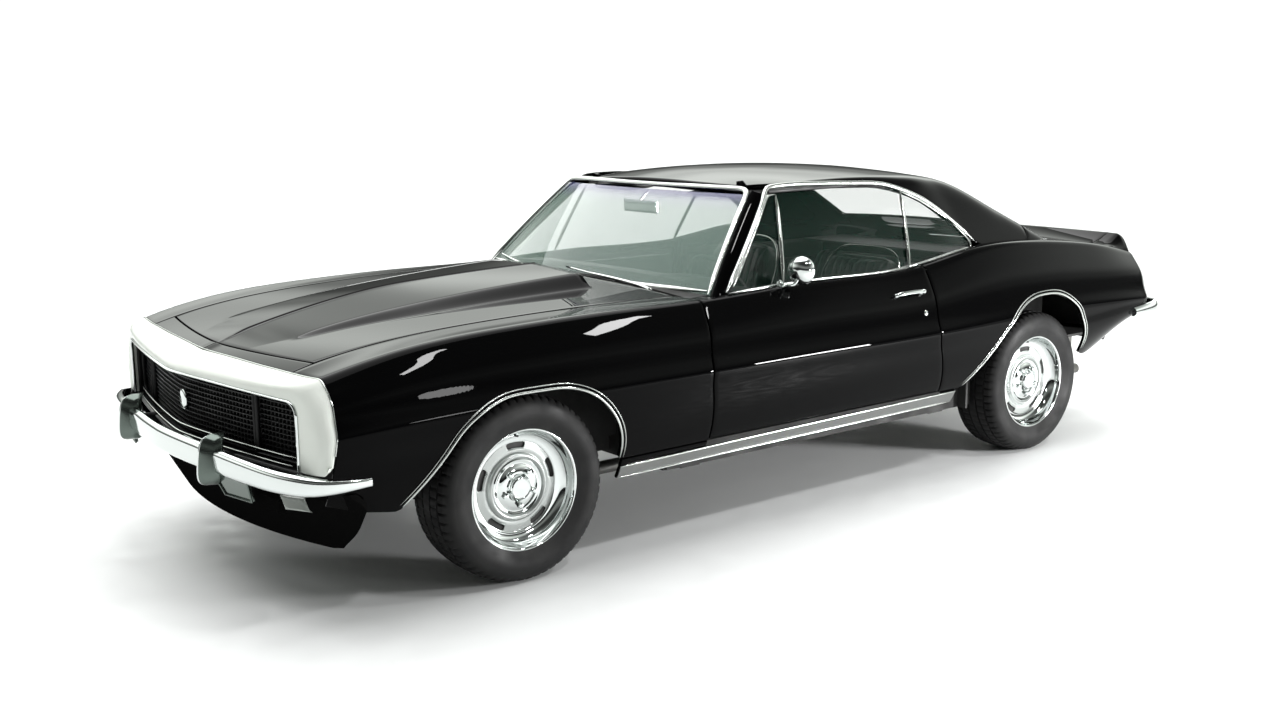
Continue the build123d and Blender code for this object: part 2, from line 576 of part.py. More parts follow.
# Firewall with cowl top, hinge pillars and the hood's hinge cheeks
FIREWALL_X = FLOOR_FRONT_X - 12
COWL_FRONT_X = HOOD_REAR_X + SWING_GAP
COWL_REAR_X = -430
COWL_FLOOR_Z = 750
with BuildPart() as firewall:
    add(shell)
    add(block(COWL_FRONT_X, COWL_REAR_X, -COWL_HALF, COWL_HALF, 600, 1100), mode=Mode.INTERSECT)
    add(block(FIREWALL_X, FIREWALL_X + 12, -COWL_HALF, COWL_HALF, FLOOR_Z, COWL_FLOOR_Z + 10))
    add(block(FIREWALL_X - 1, FIREWALL_X + 13, -TUNNEL_HALF + 12, TUNNEL_HALF - 12, FLOOR_Z - 1,
              TUNNEL_TOP_Z - 12), mode=Mode.SUBTRACT)
    add(block(FIREWALL_X, COWL_REAR_X, -COWL_HALF, COWL_HALF, COWL_FLOOR_Z, COWL_FLOOR_Z + 10))
    add(block(COWL_REAR_X - 12, COWL_REAR_X, -COWL_HALF, COWL_HALF, COWL_FLOOR_Z, 886))
    for side in (-1, 1):
        outer = side * PILLAR_OUT_Y
        inner = side * (PILLAR_OUT_Y - 60)
        add(block(FIREWALL_X, DOOR_HINGE_X + 18, min(inner, outer), max(inner, outer), ROCKER_TOP_Z, 840))
        add(hinge_bracket(HOOD_HINGE_X, HOOD_HINGE_Z, side * HINGE_Y, 880, COWL_FRONT_X, HOOD_HINGE_X + 60))
        hinge_z = CREASE_Z - 12
        add(block(DOOR_HINGE_X - 5, DOOR_HINGE_X + 5, min(side * DOOR_HINGE_Y, inner),
                  max(side * DOOR_HINGE_Y, inner), hinge_z - 22, hinge_z + 22))
        add(rod((DOOR_HINGE_X, side * DOOR_HINGE_Y, hinge_z - 22),
                (DOOR_HINGE_X, side * DOOR_HINGE_Y, hinge_z + 22), 8))
        add(rod((DOOR_HINGE_X, side * DOOR_HINGE_Y, hinge_z - 52),
                (DOOR_HINGE_X, side * DOOR_HINGE_Y, hinge_z + 52), 4))
    add(fender_left.part, mode=Mode.SUBTRACT)
    add(mirrored(fender_left.part), mode=Mode.SUBTRACT)

# Door: a skin plate over the whole outline and a box behind the hinge, with two knuckles
door_skin = body_shell(DOOR_SKIN)
DOOR_BOX_FRONT_X = DOOR_HINGE_X + 30
with BuildPart() as door_box:
    add(low_body)
    add(side_prism(door_outline(0, -DOOR_STEP, 0), DOOR_INNER_Y, 1000), mode=Mode.INTERSECT)
    add(block(DOOR_BOX_FRONT_X, 1000, -1000, 0, 0, 1200), mode=Mode.INTERSECT)
with BuildPart() as door_left:
    add(door_skin)
    add(side_prism(door_outline(0, 0, 0), DOOR_INNER_Y, 1000), mode=Mode.INTERSECT)
    add(door_box.part)
    for knuckle_z in (CREASE_Z - 72, CREASE_Z + 12):
        add(rod((DOOR_HINGE_X, -DOOR_HINGE_Y, knuckle_z + 1), (DOOR_HINGE_X, -DOOR_HINGE_Y, knuckle_z + 35), 8))
        add(block(DOOR_HINGE_X, DOOR_BOX_FRONT_X + 5, -DOOR_HINGE_Y - 4, -DOOR_HINGE_Y + 4,
                  knuckle_z + 1, knuckle_z + 35))
    with Locations((DOOR_HINGE_X, -DOOR_HINGE_Y, CREASE_Z - 12)):
        Cylinder(4 + PIN_FIT, 120, mode=Mode.SUBTRACT)

# Roof with its pillars, and the glass
roof_outer = glass_form()
SIDE_OPENING = [(-436, 880), (-112, 1222), (430, 1228), (640, 1206), (730, 1168), (905, 1068), (1010, 975),
                (940, 880)]
SCREEN_OPENING = [(-712, 900), (-560, 1208), (560, 1208), (712, 900)]
BACK_OPENING = [(1095, -490), (1095, 490), (1560, 560), (1560, -560)]
QUARTER_EDGE_TOP = (628, 1215)
QUARTER_EDGE_LOW = (545, 880)


def front_prism(points, x_from, x_to):
    """Return a prism whose outline is drawn from the front."""
    with BuildPart() as prism:
        with BuildSketch(Plane.YZ.offset(x_from)):
            with BuildLine():
                Polyline(*points, close=True)
            make_face()
        extrude(amount=x_to - x_from)
    return prism.part


with BuildPart() as roof:
    add(roof_outer)
    add(glass_form(ROOF_T), mode=Mode.SUBTRACT)
    add(side_prism(SIDE_OPENING, -1000, 1000), mode=Mode.SUBTRACT)
    add(front_prism(SCREEN_OPENING, -900, -100), mode=Mode.SUBTRACT)
    add(plan_prism(BACK_OPENING, 700, 1290), mode=Mode.SUBTRACT)
    add(low_body, mode=Mode.SUBTRACT)
    add(block(-700, DOOR_REAR[0] + 8, -1000, -COWL_HALF, 800, 930), mode=Mode.SUBTRACT)
    add(block(-700, DOOR_REAR[0] + 8, COWL_HALF, 1000, 800, 930), mode=Mode.SUBTRACT)

with BuildPart() as glass_skin:
    add(glass_form(GLASS_SET))
    add(glass_form(GLASS_SET + GLASS_T), mode=Mode.SUBTRACT)
    add(low_body, mode=Mode.SUBTRACT)
with BuildPart() as windshield:
    add(glass_skin.part)
    add(front_prism(SCREEN_OPENING, -900, -100), mode=Mode.INTERSECT)
with BuildPart() as rear_window:
    add(glass_skin.part)
    add(plan_prism(BACK_OPENING, 940, 1290), mode=Mode.INTERSECT)
with BuildPart() as quarter_glass_left:
    add(glass_skin.part)
    add(side_prism(SIDE_OPENING, 400, 1000), mode=Mode.INTERSECT)
    add(side_prism([(QUARTER_EDGE_LOW[0] + 8, 700), (QUARTER_EDGE_LOW[0] + 8, QUARTER_EDGE_LOW[1]),
                    (QUARTER_EDGE_TOP[0] + 8, QUARTER_EDGE_TOP[1]), (QUARTER_EDGE_TOP[0] + 8, 1400),
                    (1400, 1400), (1400, 700)], 400, 1000), mode=Mode.INTERSECT)
    add(block(0, DOOR_REAR[0] + 12, -1000, 0, 0, 960), mode=Mode.SUBTRACT)
with BuildPart() as door_glass_left:
    add(glass_skin.part)
    add(side_prism([(-424, 870), (-404, 912), (-106, 1214), (430, 1220), (QUARTER_EDGE_TOP[0] - 4, 1200),
                    (QUARTER_EDGE_LOW[0], 880), (QUARTER_EDGE_LOW[0], 700), (-424, 700)], 400, 1000),
        mode=Mode.INTERSECT)
    add(door_left.part, mode=Mode.SUBTRACT)

# Bumpers: a tall thin blade that wraps round each end, on brackets from the frame
BUMPER_T = 12
FRONT_BLADE_Z = (428, 545)
REAR_BLADE_Z = (532, 612)
GUARD_Y = 370
BRACKET_Z = 404
RAIL_FRONT_X = NOSE_X + 165
with BuildPart() as front_bumper:
    add(end_band(BUMPER_STAND, BUMPER_T, FRONT_BLADE_Z[0] + 18, FRONT_BLADE_Z[1] - 18, FRONT_X - 50,
                 FRONT_X + 330, HALF_WIDTH - 14))
    add(end_band(BUMPER_STAND - 9, BUMPER_T, *FRONT_BLADE_Z, FRONT_X - 50, FRONT_X + 320,
                 HALF_WIDTH - 18))
    for side in (-1, 1):
        guard_y = side * GUARD_Y
        add(block(FRONT_X + 8, FRONT_X + 60, guard_y - 22, guard_y + 22, FRONT_BLADE_Z[0] - 25,
                  FRONT_BLADE_Z[1] + 8))
        add(block(FRONT_X + 50, RAIL_FRONT_X, guard_y - 25, guard_y + 25, BRACKET_Z - 18, BRACKET_Z))
    add(nose_panel.part, mode=Mode.SUBTRACT)
with BuildPart() as rear_bumper:
    add(end_band(BUMPER_STAND, BUMPER_T, REAR_BLADE_Z[0] + 14, REAR_BLADE_Z[1] - 14, REAR_X - 330,
                 REAR_X + 50, HALF_WIDTH - 24))
    add(end_band(BUMPER_STAND - 8, BUMPER_T, *REAR_BLADE_Z, REAR_X - 320, REAR_X + 50, HALF_WIDTH - 28))
    for side in (-1, 1):
        add(block(TAIL_X - 34, REAR_X - 14, side * 380 - 25, side * 380 + 25, 540, 560))
    add(tail_panel.part, mode=Mode.SUBTRACT)
    add(floor_pan.part, mode=Mode.SUBTRACT)

# Apron below the front bumper, with the two lamps in it, and the plate below the rear bumper
APRON_LOW_Z = 205
with BuildPart() as front_apron:
    loft(sections=[plan_outline(-130, Plane.XY.offset(APRON_LOW_Z)), plan_outline(-14, Plane.XY.offset(428))],
         ruled=True)
    loft(sections=[plan_outline(-142, Plane.XY.offset(APRON_LOW_Z)), plan_outline(-26, Plane.XY.offset(428))],
         ruled=True, mode=Mode.SUBTRACT)
    add(block(NOSE_X - 100, NOSE_SEAM_X + 40, -872, 872, 0, 428), mode=Mode.INTERSECT)
    for side in (-1, 1):
        add(block(NOSE_X + 62, NOSE_X + 120, min(side * 520, side * 700), max(side * 520, side * 700),
                  360, 400))
    add(nose_panel.part, mode=Mode.SUBTRACT)
    add(front_bumper.part, mode=Mode.SUBTRACT)
    add(fender_left.part, mode=Mode.SUBTRACT)
    add(mirrored(fender_left.part), mode=Mode.SUBTRACT)

# Front frame: rails, cross member, radiator wall, wheel aprons and the control arms with their pins
RAIL_LOW_Z = 262
RAIL_TOP_Z = 350
KNUCKLE_HALF = 105
ARM_PLATE_T = 14
apron_front_x = NOSE_SEAM_X + 25
APRON_SHELF_Z = 706
with BuildPart() as front_frame:
    for side in (-1, 1):
        rail_in, rail_out = sorted((side * RAIL_IN_Y, side * RAIL_OUT_Y))
        wall_in, wall_out = sorted((side * (APRON_Y - 10), side * APRON_Y))
        shelf_in, shelf_out = sorted((side * (APRON_Y - 10), side * 742))
        lip_in, lip_out = sorted((side * 732, side * 742))
        pin_y = side * KINGPIN_Y
        arm_in, arm_out = sorted((side * (RAIL_IN_Y + 10), pin_y))
        add(block(RAIL_FRONT_X, FIREWALL_X, rail_in, rail_out, RAIL_LOW_Z, RAIL_TOP_Z))
        add(block(RAIL_FRONT_X, RAIL_FRONT_X + 30, rail_in, rail_out, RAIL_LOW_Z, BRACKET_Z))
        add(block(apron_front_x, FIREWALL_X, wall_in, wall_out, RAIL_TOP_Z - 20, APRON_SHELF_Z))
        ledge_in, ledge_out = sorted((side * RAIL_IN_Y, side * APRON_Y))
        add(block(apron_front_x, FIREWALL_X, ledge_in, ledge_out, RAIL_TOP_Z - 20, RAIL_TOP_Z))
        add(block(apron_front_x, FIREWALL_X, shelf_in, shelf_out, APRON_SHELF_Z, APRON_SHELF_Z + 10))
        add(block(apron_front_x, FIREWALL_X, lip_in, lip_out, APRON_SHELF_Z, 900))
        for arm_z in (TYRE_R - KNUCKLE_HALF - ARM_PLATE_T - SEAT_GAP, TYRE_R + KNUCKLE_HALF + SEAT_GAP):
            with BuildSketch(Plane.XY.offset(arm_z)):
                with BuildLine():
                    Polyline((FRONT_AXLE_X - 150, side * (RAIL_IN_Y + 10)),
                             (FRONT_AXLE_X - 34, pin_y), (FRONT_AXLE_X + 34, pin_y),
                             (FRONT_AXLE_X + 150, side * (RAIL_IN_Y + 10)), close=True)
                make_face()
                with Locations((FRONT_AXLE_X, pin_y)):
                    Circle(34)
            extrude(amount=ARM_PLATE_T)
        add(rod((FRONT_AXLE_X, pin_y, TYRE_R - KNUCKLE_HALF - 5), (FRONT_AXLE_X, pin_y, TYRE_R - 80),
                KINGPIN_R))
        add(rod((FRONT_AXLE_X, pin_y, TYRE_R + 80), (FRONT_AXLE_X, pin_y, TYRE_R + KNUCKLE_HALF + 5),
                KINGPIN_R))
        add(block(FRONT_AXLE_X - 60, FRONT_AXLE_X + 60, rail_in, rail_out, 200, 440))
    add(block(FRONT_AXLE_X - 60, FRONT_AXLE_X + 60, -RAIL_IN_Y, RAIL_IN_Y, 200, 285))
    add(block(apron_front_x, apron_front_x + 14, -APRON_Y, APRON_Y, RAIL_LOW_Z, 716))
    add(block(RAIL_FRONT_X, RAIL_FRONT_X + 30, -RAIL_IN_Y, RAIL_IN_Y, RAIL_LOW_Z, RAIL_TOP_Z))
    add(inner_form, mode=Mode.INTERSECT)

# Engine with its gearbox: one plain block
with BuildPart() as engine_block:
    add(block(FRONT_AXLE_X - 230, FRONT_AXLE_X + 440, -240, 240, 285, 740))
    add(block(FRONT_AXLE_X + 440, FRONT_AXLE_X + 940, -110, 110, FLOOR_Z + 5, TUNNEL_TOP_Z - 20))
    for side in (-1, 1):
        add(block(FRONT_AXLE_X + 20, FRONT_AXLE_X + 90, min(side * 240, side * RAIL_IN_Y),
                  max(side * 240, side * RAIL_IN_Y), 300, 345))

# Wheel: tyre and rim turned about the wheel's own axis, then set at each corner
LIP_R = 208
DISC_Y = 38
HUB_R = 62
SLOTS = 5
tyre_half = TYRE_WIDTH / 2
rim_half = RIM_WIDTH / 2


def wheel_plane(centre):
    """Return the sketch plane for turned wheel profiles: along the axle, and out from it."""
    return Plane(origin=centre, x_dir=(0, 1, 0), z_dir=(1, 0, 0))


def tyre(centre):
    """Return one tyre, turned about the axle."""
    with BuildPart() as ring:
        with BuildSketch(wheel_plane(centre)):
            with BuildLine():
                Polyline((-rim_half, LIP_R), (7 - rim_half, LIP_R), (7 - rim_half, RIM_R),
                         (rim_half - 7, RIM_R), (rim_half - 7, LIP_R), (rim_half, LIP_R))
                ThreePointArc((rim_half, LIP_R), (tyre_half, (RIM_R + TYRE_R) / 2 - 6),
                              (tyre_half - 16, TYRE_R - 12))
                Polyline((tyre_half - 16, TYRE_R - 12), (tyre_half - 34, TYRE_R), (34 - tyre_half, TYRE_R),
                         (16 - tyre_half, TYRE_R - 12))
                ThreePointArc((16 - tyre_half, TYRE_R - 12), (-tyre_half, (RIM_R + TYRE_R) / 2 - 6),
                              (-rim_half, LIP_R))
            make_face()
        revolve(axis=Axis(centre, (0, 1, 0)))
    return ring.part


def rim(centre, side, bore_from, bore_to):
    """Return one slotted wheel with its drum, bored for the spindle. Side is -1 on the left."""
    inner_r = RIM_R - RIM_WALL
    disc_y = side * DISC_Y
    with BuildPart() as wheel:
        with BuildSketch(wheel_plane(centre)):
            with BuildLine():
                Polyline((-rim_half, LIP_R), (-rim_half, LIP_R - 6), (-rim_half + 6, inner_r),
                         (rim_half - 6, inner_r), (rim_half, LIP_R - 6), (rim_half, LIP_R),
                         (rim_half - 7, LIP_R), (rim_half - 7, RIM_R), (-rim_half + 7, RIM_R),
                         (-rim_half + 7, LIP_R), close=True)
            make_face()
            with BuildLine():
                Polyline((disc_y, 0), (disc_y, 62), (disc_y + side * 14, 80), (disc_y + side * 14, 110),
                         (disc_y, 150), (disc_y - side * 8, inner_r + 2),
                         (disc_y - side * 14, inner_r + 2), (disc_y - side * 8, 146),
                         (disc_y + side * 6, 106), (disc_y + side * 6, 80), (disc_y - side * 10, 62),
                         (disc_y - side * 52, 62), (disc_y - side * 52, 130), (disc_y - side * 66, 130),
                         (disc_y - side * 66, 0), close=True)
            make_face()
            with BuildLine():
                Polyline((disc_y, 0), (disc_y, 40), (disc_y + side * 34, 36), (disc_y + side * 42, 26),
                         (disc_y + side * 46, 0), close=True)
            make_face()
        revolve(axis=Axis(centre, (0, 1, 0)))
        with BuildSketch(Plane(origin=(centre[0], centre[1] + disc_y + side * 40, centre[2]),
                               x_dir=(1, 0, 0), z_dir=(0, -side, 0))):
            with PolarLocations(127, SLOTS, start_angle=90):
                SlotOverall(46, 26, rotation=90)
        extrude(amount=60, mode=Mode.SUBTRACT)
        bore_mid = (bore_from + bore_to) / 2
        with Locations(Location((centre[0], bore_mid, centre[2]), (90, 0, 0))):
            Cylinder(SPINDLE_R + PIN_FIT, abs(bore_to - bore_from), mode=Mode.SUBTRACT)
    return wheel.part


wheel_half_track = TRACK / 2
SPINDLE_TIP_Y = wheel_half_track + DISC_Y - 8
SPINDLE_FROM_Y = wheel_half_track + DISC_Y - 66
pieces = {}
for axle_name, axle_x in (("front", FRONT_AXLE_X), ("rear", REAR_AXLE_X)):
    for side_name, side in (("left", -1), ("right", 1)):
        wheel_centre = (axle_x, side * wheel_half_track, TYRE_R)
        pieces[f"tyre_{axle_name}_{side_name}"] = tyre(wheel_centre)
        pieces[f"rim_{axle_name}_{side_name}"] = rim(wheel_centre, side, side * (SPINDLE_FROM_Y - 5),
                                                     side * (SPINDLE_TIP_Y + SEAT_GAP))

# Knuckle: an upright bored for its pins, with the spindle
for side_name, side in (("left", -1), ("right", 1)):
    pin_y = side * KINGPIN_Y
    with BuildPart() as knuckle:
        add(block(FRONT_AXLE_X - 32, FRONT_AXLE_X + 32, pin_y - 26, pin_y + 26, TYRE_R - KNUCKLE_HALF,
                  TYRE_R + KNUCKLE_HALF))
        add(rod((FRONT_AXLE_X, pin_y, TYRE_R),
                (FRONT_AXLE_X, side * (SPINDLE_FROM_Y - SEAT_GAP), TYRE_R), 26))
        add(rod((FRONT_AXLE_X, pin_y, TYRE_R), (FRONT_AXLE_X, side * SPINDLE_TIP_Y, TYRE_R), SPINDLE_R))
        for bore_z in (TYRE_R - KNUCKLE_HALF, TYRE_R + KNUCKLE_HALF):
            with Locations((FRONT_AXLE_X, pin_y, bore_z)):
                Cylinder(KINGPIN_R + PIN_FIT, 2 * (KNUCKLE_HALF - 80 + SEAT_GAP), mode=Mode.SUBTRACT)
    pieces[f"knuckle_{side_name}"] = knuckle.part

# Rear axle with its differential, leaf springs and driveshaft
SPRING_Y = 525
SPRING_FRONT_X = STEP_X + 12
SPRING_REAR_X = REAR_AXLE_X + 600
DRIVESHAFT_Z = 315
DIFF_R = 105
with BuildPart() as rear_axle:
    add(rod((REAR_AXLE_X, -SPINDLE_FROM_Y + SEAT_GAP, TYRE_R), (REAR_AXLE_X, SPINDLE_FROM_Y - SEAT_GAP, TYRE_R),
            38))
    add(rod((REAR_AXLE_X, -SPINDLE_TIP_Y, TYRE_R), (REAR_AXLE_X, SPINDLE_TIP_Y, TYRE_R), SPINDLE_R))
    with BuildSketch(Plane.YZ.offset(REAR_AXLE_X - 110)):
        with Locations((0, TYRE_R - 30)):
            Circle(60)
    with BuildSketch(Plane.YZ.offset(REAR_AXLE_X)):
        with Locations((0, TYRE_R - 15)):
            Circle(DIFF_R)
    with BuildSketch(Plane.YZ.offset(REAR_AXLE_X + 90)):
        with Locations((0, TYRE_R - 15)):
            Circle(80)
    loft(ruled=True)
    add(rod((FRONT_AXLE_X + 940, 0, DRIVESHAFT_Z), (REAR_AXLE_X - 60, 0, TYRE_R - 30), 36))
    add(engine_block.part, mode=Mode.SUBTRACT)
    for side in (-1, 1):
        leaf_y = side * SPRING_Y
        add(block(SPRING_FRONT_X, SPRING_REAR_X, leaf_y - 31, leaf_y + 31, TYRE_R - 62, TYRE_R - 34))
        add(block(SPRING_FRONT_X, SPRING_FRONT_X + 50, leaf_y - 31, leaf_y + 31, TYRE_R - 62, TRUNK_FLOOR_Z))
        add(block(SPRING_REAR_X - 40, SPRING_REAR_X, leaf_y - 31, leaf_y + 31, TYRE_R - 62, TRUNK_FLOOR_Z))
        add(block(REAR_AXLE_X - 50, REAR_AXLE_X + 50, leaf_y - 36, leaf_y + 36, TYRE_R - 62, TYRE_R))
    add(floor_pan.part, mode=Mode.SUBTRACT)

# Fuel tank under the trunk floor
with BuildPart() as fuel_tank:
    add(block(REAR_AXLE_X + 190, TAIL_X - 110, -390, 390, 235, TRUNK_FLOOR_Z))
    fillet(fuel_tank.edges().filter_by(Axis.Z), 40)

# Exhaust: two pipes with flat mufflers, hung from the floor
PIPE_Y = 440
PIPE_Z = 205
PIPE_R = 25
with BuildPart() as exhaust:
    for side in (-1, 1):
        pipe_y = side * PIPE_Y
        add(rod((FRONT_AXLE_X + 500, pipe_y, PIPE_Z), (TAIL_X - 20, pipe_y, PIPE_Z), PIPE_R))
        add(rod((-150, pipe_y, PIPE_Z), (380, pipe_y, PIPE_Z), 38))
        add(block(-20, 20, pipe_y - 6, pipe_y + 6, PIPE_Z, FLOOR_Z))
        add(block(600, 640, pipe_y - 6, pipe_y + 6, PIPE_Z, FLOOR_Z))
        add(block(TAIL_X - 110, TAIL_X - 70, pipe_y - 6, pipe_y + 6, PIPE_Z, TRUNK_FLOOR_Z))

# Seats
SEAT_Y = 365


def seat(y_from, y_to, front_x, back_x, low_z, cushion_z, top_z, lean):
    """Return one seat: a cushion and a leaning back, as one plain form."""
    with BuildPart() as chair:
        with BuildSketch(Plane.XZ.offset(-y_to)):
            with BuildLine():
                Polyline((front_x, low_z), (front_x - 10, cushion_z - 40), (front_x + 30, cushion_z),
                         (back_x - 20, cushion_z - 30), (back_x + lean - 30, top_z - 20),
                         (back_x + lean + 10, top_z), (back_x + lean + 70, top_z - 30),
                         (back_x + 110, cushion_z - 40), (back_x + 80, low_z), close=True)
            make_face()
        extrude(amount=y_to - y_from)
    return chair.part


seat_low_z = FLOOR_Z + FLOOR_T
pieces["seat_left"] = seat(-SEAT_Y - 245, -SEAT_Y + 215, 60, 560, seat_low_z, 500, 945, 190)
pieces["seat_right"] = seat(SEAT_Y - 215, SEAT_Y + 245, 60, 560, seat_low_z, 500, 945, 190)
with BuildPart() as rear_seat:
    add(seat(-HOUSE_IN_Y + 15, HOUSE_IN_Y - 15, 900, 1280, TRUNK_FLOOR_Z + 12, 520, 850, 60))
    add(block(880, STEP_X, -HOUSE_IN_Y, HOUSE_IN_Y, TRUNK_FLOOR_Z + 12, 470))
    add(block(890, 900, -HOUSE_IN_Y + 15, HOUSE_IN_Y - 15, 440, 470))
    add(rear_deck.part, mode=Mode.SUBTRACT)
    add(floor_pan.part, mode=Mode.SUBTRACT)

# Dashboard with the steering column, and the steering wheel on its shaft
DASH_TOP_Z = 880
COLUMN_Y = -370
COLUMN_LEAN = 24
WHEEL_CENTRE = (-140, COLUMN_Y, 800)
WHEEL_R = 190
STEER_SHAFT_R = 9
column_way = Vector(-cos(radians(COLUMN_LEAN)), 0, -sin(radians(COLUMN_LEAN)))
column_top = Vector(*WHEEL_CENTRE) + column_way * 60
column_end = Vector(*WHEEL_CENTRE) + column_way * 420
with BuildPart() as dashboard:
    with BuildSketch(Plane.XZ.offset(-COWL_HALF + 4)):
        with BuildLine():
            Polyline((COWL_REAR_X, 640), (COWL_REAR_X, 870), (COWL_REAR_X + 40, DASH_TOP_Z),
                     (COWL_REAR_X + 190, DASH_TOP_Z - 12), (COWL_REAR_X + 215, DASH_TOP_Z - 40),
                     (COWL_REAR_X + 195, 690), (COWL_REAR_X + 120, 640), close=True)
        make_face()
    extrude(amount=2 * (COWL_HALF - 4))
    add(rod(tuple(column_top), tuple(column_end), 24))
    with BuildSketch(Plane(origin=tuple(column_top), z_dir=column_way)):
        Circle(STEER_SHAFT_R + PIN_FIT)
    extrude(amount=80, mode=Mode.SUBTRACT)
with BuildPart() as steering_wheel:
    with BuildSketch(Plane(origin=WHEEL_CENTRE, x_dir=(0, 1, 0), z_dir=-column_way)):
        Circle(34)
        Rectangle(2 * WHEEL_R - 10, 30)
    extrude(amount=-24)
    ring_plane = Plane(origin=WHEEL_CENTRE, x_dir=(0, 1, 0), z_dir=-column_way)
    with BuildSketch(Plane(origin=ring_plane.from_local_coords((WHEEL_R, 0, -8)), x_dir=(0, 1, 0),
                           z_dir=ring_plane.y_dir)):
        Circle(13)
    revolve(axis=Axis(WHEEL_CENTRE, tuple(-column_way)))
    add(rod(WHEEL_CENTRE, tuple(column_top + column_way * 70), STEER_SHAFT_R))
    add(rod(WHEEL_CENTRE, tuple(column_top - column_way * SEAT_GAP), 20))

# Mirror on the left door: a round housing on a short arm
MIRROR_CENTRE = (-165, -855, 948)
with BuildPart() as mirror_left:
    add(rod((MIRROR_CENTRE[0] - 22, MIRROR_CENTRE[1], MIRROR_CENTRE[2]),
            (MIRROR_CENTRE[0] + 22, MIRROR_CENTRE[1], MIRROR_CENTRE[2]), 56))
    add(rod((MIRROR_CENTRE[0] - 5, MIRROR_CENTRE[1], MIRROR_CENTRE[2]), (-225, -820, 886), 9))
    add(rod((-225, -820, 886), (-225, -820, 860), 20))
    add(low_body, mode=Mode.SUBTRACT)

pieces.update({
    "fender_left": fender_left.part, "fender_right": mirrored(fender_left.part),
    "quarter_left": quarter_left.part, "quarter_right": mirrored(quarter_left.part),
    "door_left": door_left.part, "door_right": mirrored(door_left.part),
    "door_glass_left": door_glass_left.part, "door_glass_right": mirrored(door_glass_left.part),
    "quarter_glass_left": quarter_glass_left.part, "quarter_glass_right": mirrored(quarter_glass_left.part),
    "nose_panel": nose_panel.part, "grille": grille.part, "hood": hood.part, "trunk_lid": trunk_lid.part,
    "tail_panel": tail_panel.part, "rear_deck": rear_deck.part, "floor_pan": floor_pan.part,
    "firewall": firewall.part, "roof": roof.part, "windshield": windshield.part,
    "rear_window": rear_window.part, "front_bumper": front_bumper.part, "rear_bumper": rear_bumper.part,
    "front_apron": front_apron.part, "front_frame": front_frame.part, "engine_block": engine_block.part,
    "rear_axle": rear_axle.part, "fuel_tank": fuel_tank.part, "exhaust": exhaust.part,
    "rear_seat": rear_seat.part, "dashboard": dashboard.part, "steering_wheel": steering_wheel.part,
    "mirror_left": mirror_left.part,
})
for name, piece in pieces.items():
    piece.label = name
    export_step(piece, f"parts/{name}.step")
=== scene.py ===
"""A two-door muscle car: gloss black body, white nose band, bright mouldings and slotted wheels.

Every length is in metres in the frame's axes: X to the rear, Y to the car's right, Z up.
"""

import bmesh
import bpy
import numpy as np
from mathutils import Matrix, Vector


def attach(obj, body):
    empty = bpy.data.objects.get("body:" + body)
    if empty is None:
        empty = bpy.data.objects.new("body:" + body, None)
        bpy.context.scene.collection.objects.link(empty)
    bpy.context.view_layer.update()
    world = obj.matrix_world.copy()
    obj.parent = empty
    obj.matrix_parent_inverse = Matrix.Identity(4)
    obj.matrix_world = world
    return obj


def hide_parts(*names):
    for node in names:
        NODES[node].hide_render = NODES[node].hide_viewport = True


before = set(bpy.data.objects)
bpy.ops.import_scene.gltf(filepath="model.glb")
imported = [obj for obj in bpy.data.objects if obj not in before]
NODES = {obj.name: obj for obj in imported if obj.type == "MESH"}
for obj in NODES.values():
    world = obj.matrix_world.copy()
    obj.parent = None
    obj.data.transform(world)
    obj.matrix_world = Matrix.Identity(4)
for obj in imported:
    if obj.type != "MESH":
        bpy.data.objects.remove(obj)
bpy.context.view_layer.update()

# ---------------------------------------------------------------- sizes
NOSE_X = -2.272
AXLE_X = {"front": -1.413, "rear": 1.333}
WHEEL_Y, WHEEL_Z = 0.7495, 0.320
SIDES = (("left", -1), ("right", 1))
PANEL_T, LID_T, ROOF_T = 0.012, 0.024, 0.020
ROLL = 0.003
COWL_X = -0.640
HOOD_FRONT_X, HOOD_FRONT_HALF, HOOD_REAR_HALF = -2.102, 0.612, 0.674
HOOD_CORNER_RUN = 0.072
LID_FRONT_X, LID_HALF = 1.700, 0.617
ROCKER_TOP_Z = 0.366
DOOR_BOTTOM_Z = 0.372
GAP = .003
# half of each shut line between neighbouring panels
SHUT_TOP_Z, TAIL_EDGE_X = .888, 2.2575
# where the doors' shut lines end at the top, and where the quarters end
LAMP_DOOR_Y = .468
# half way between the two frames at the inner end of each lamp door
GLASS_T = .005
TURN_X, TURN_RUN, TURN_IN = 2.152, 0.106, 0.130
# where the tail corner starts to turn, how far it runs on and how far it comes in

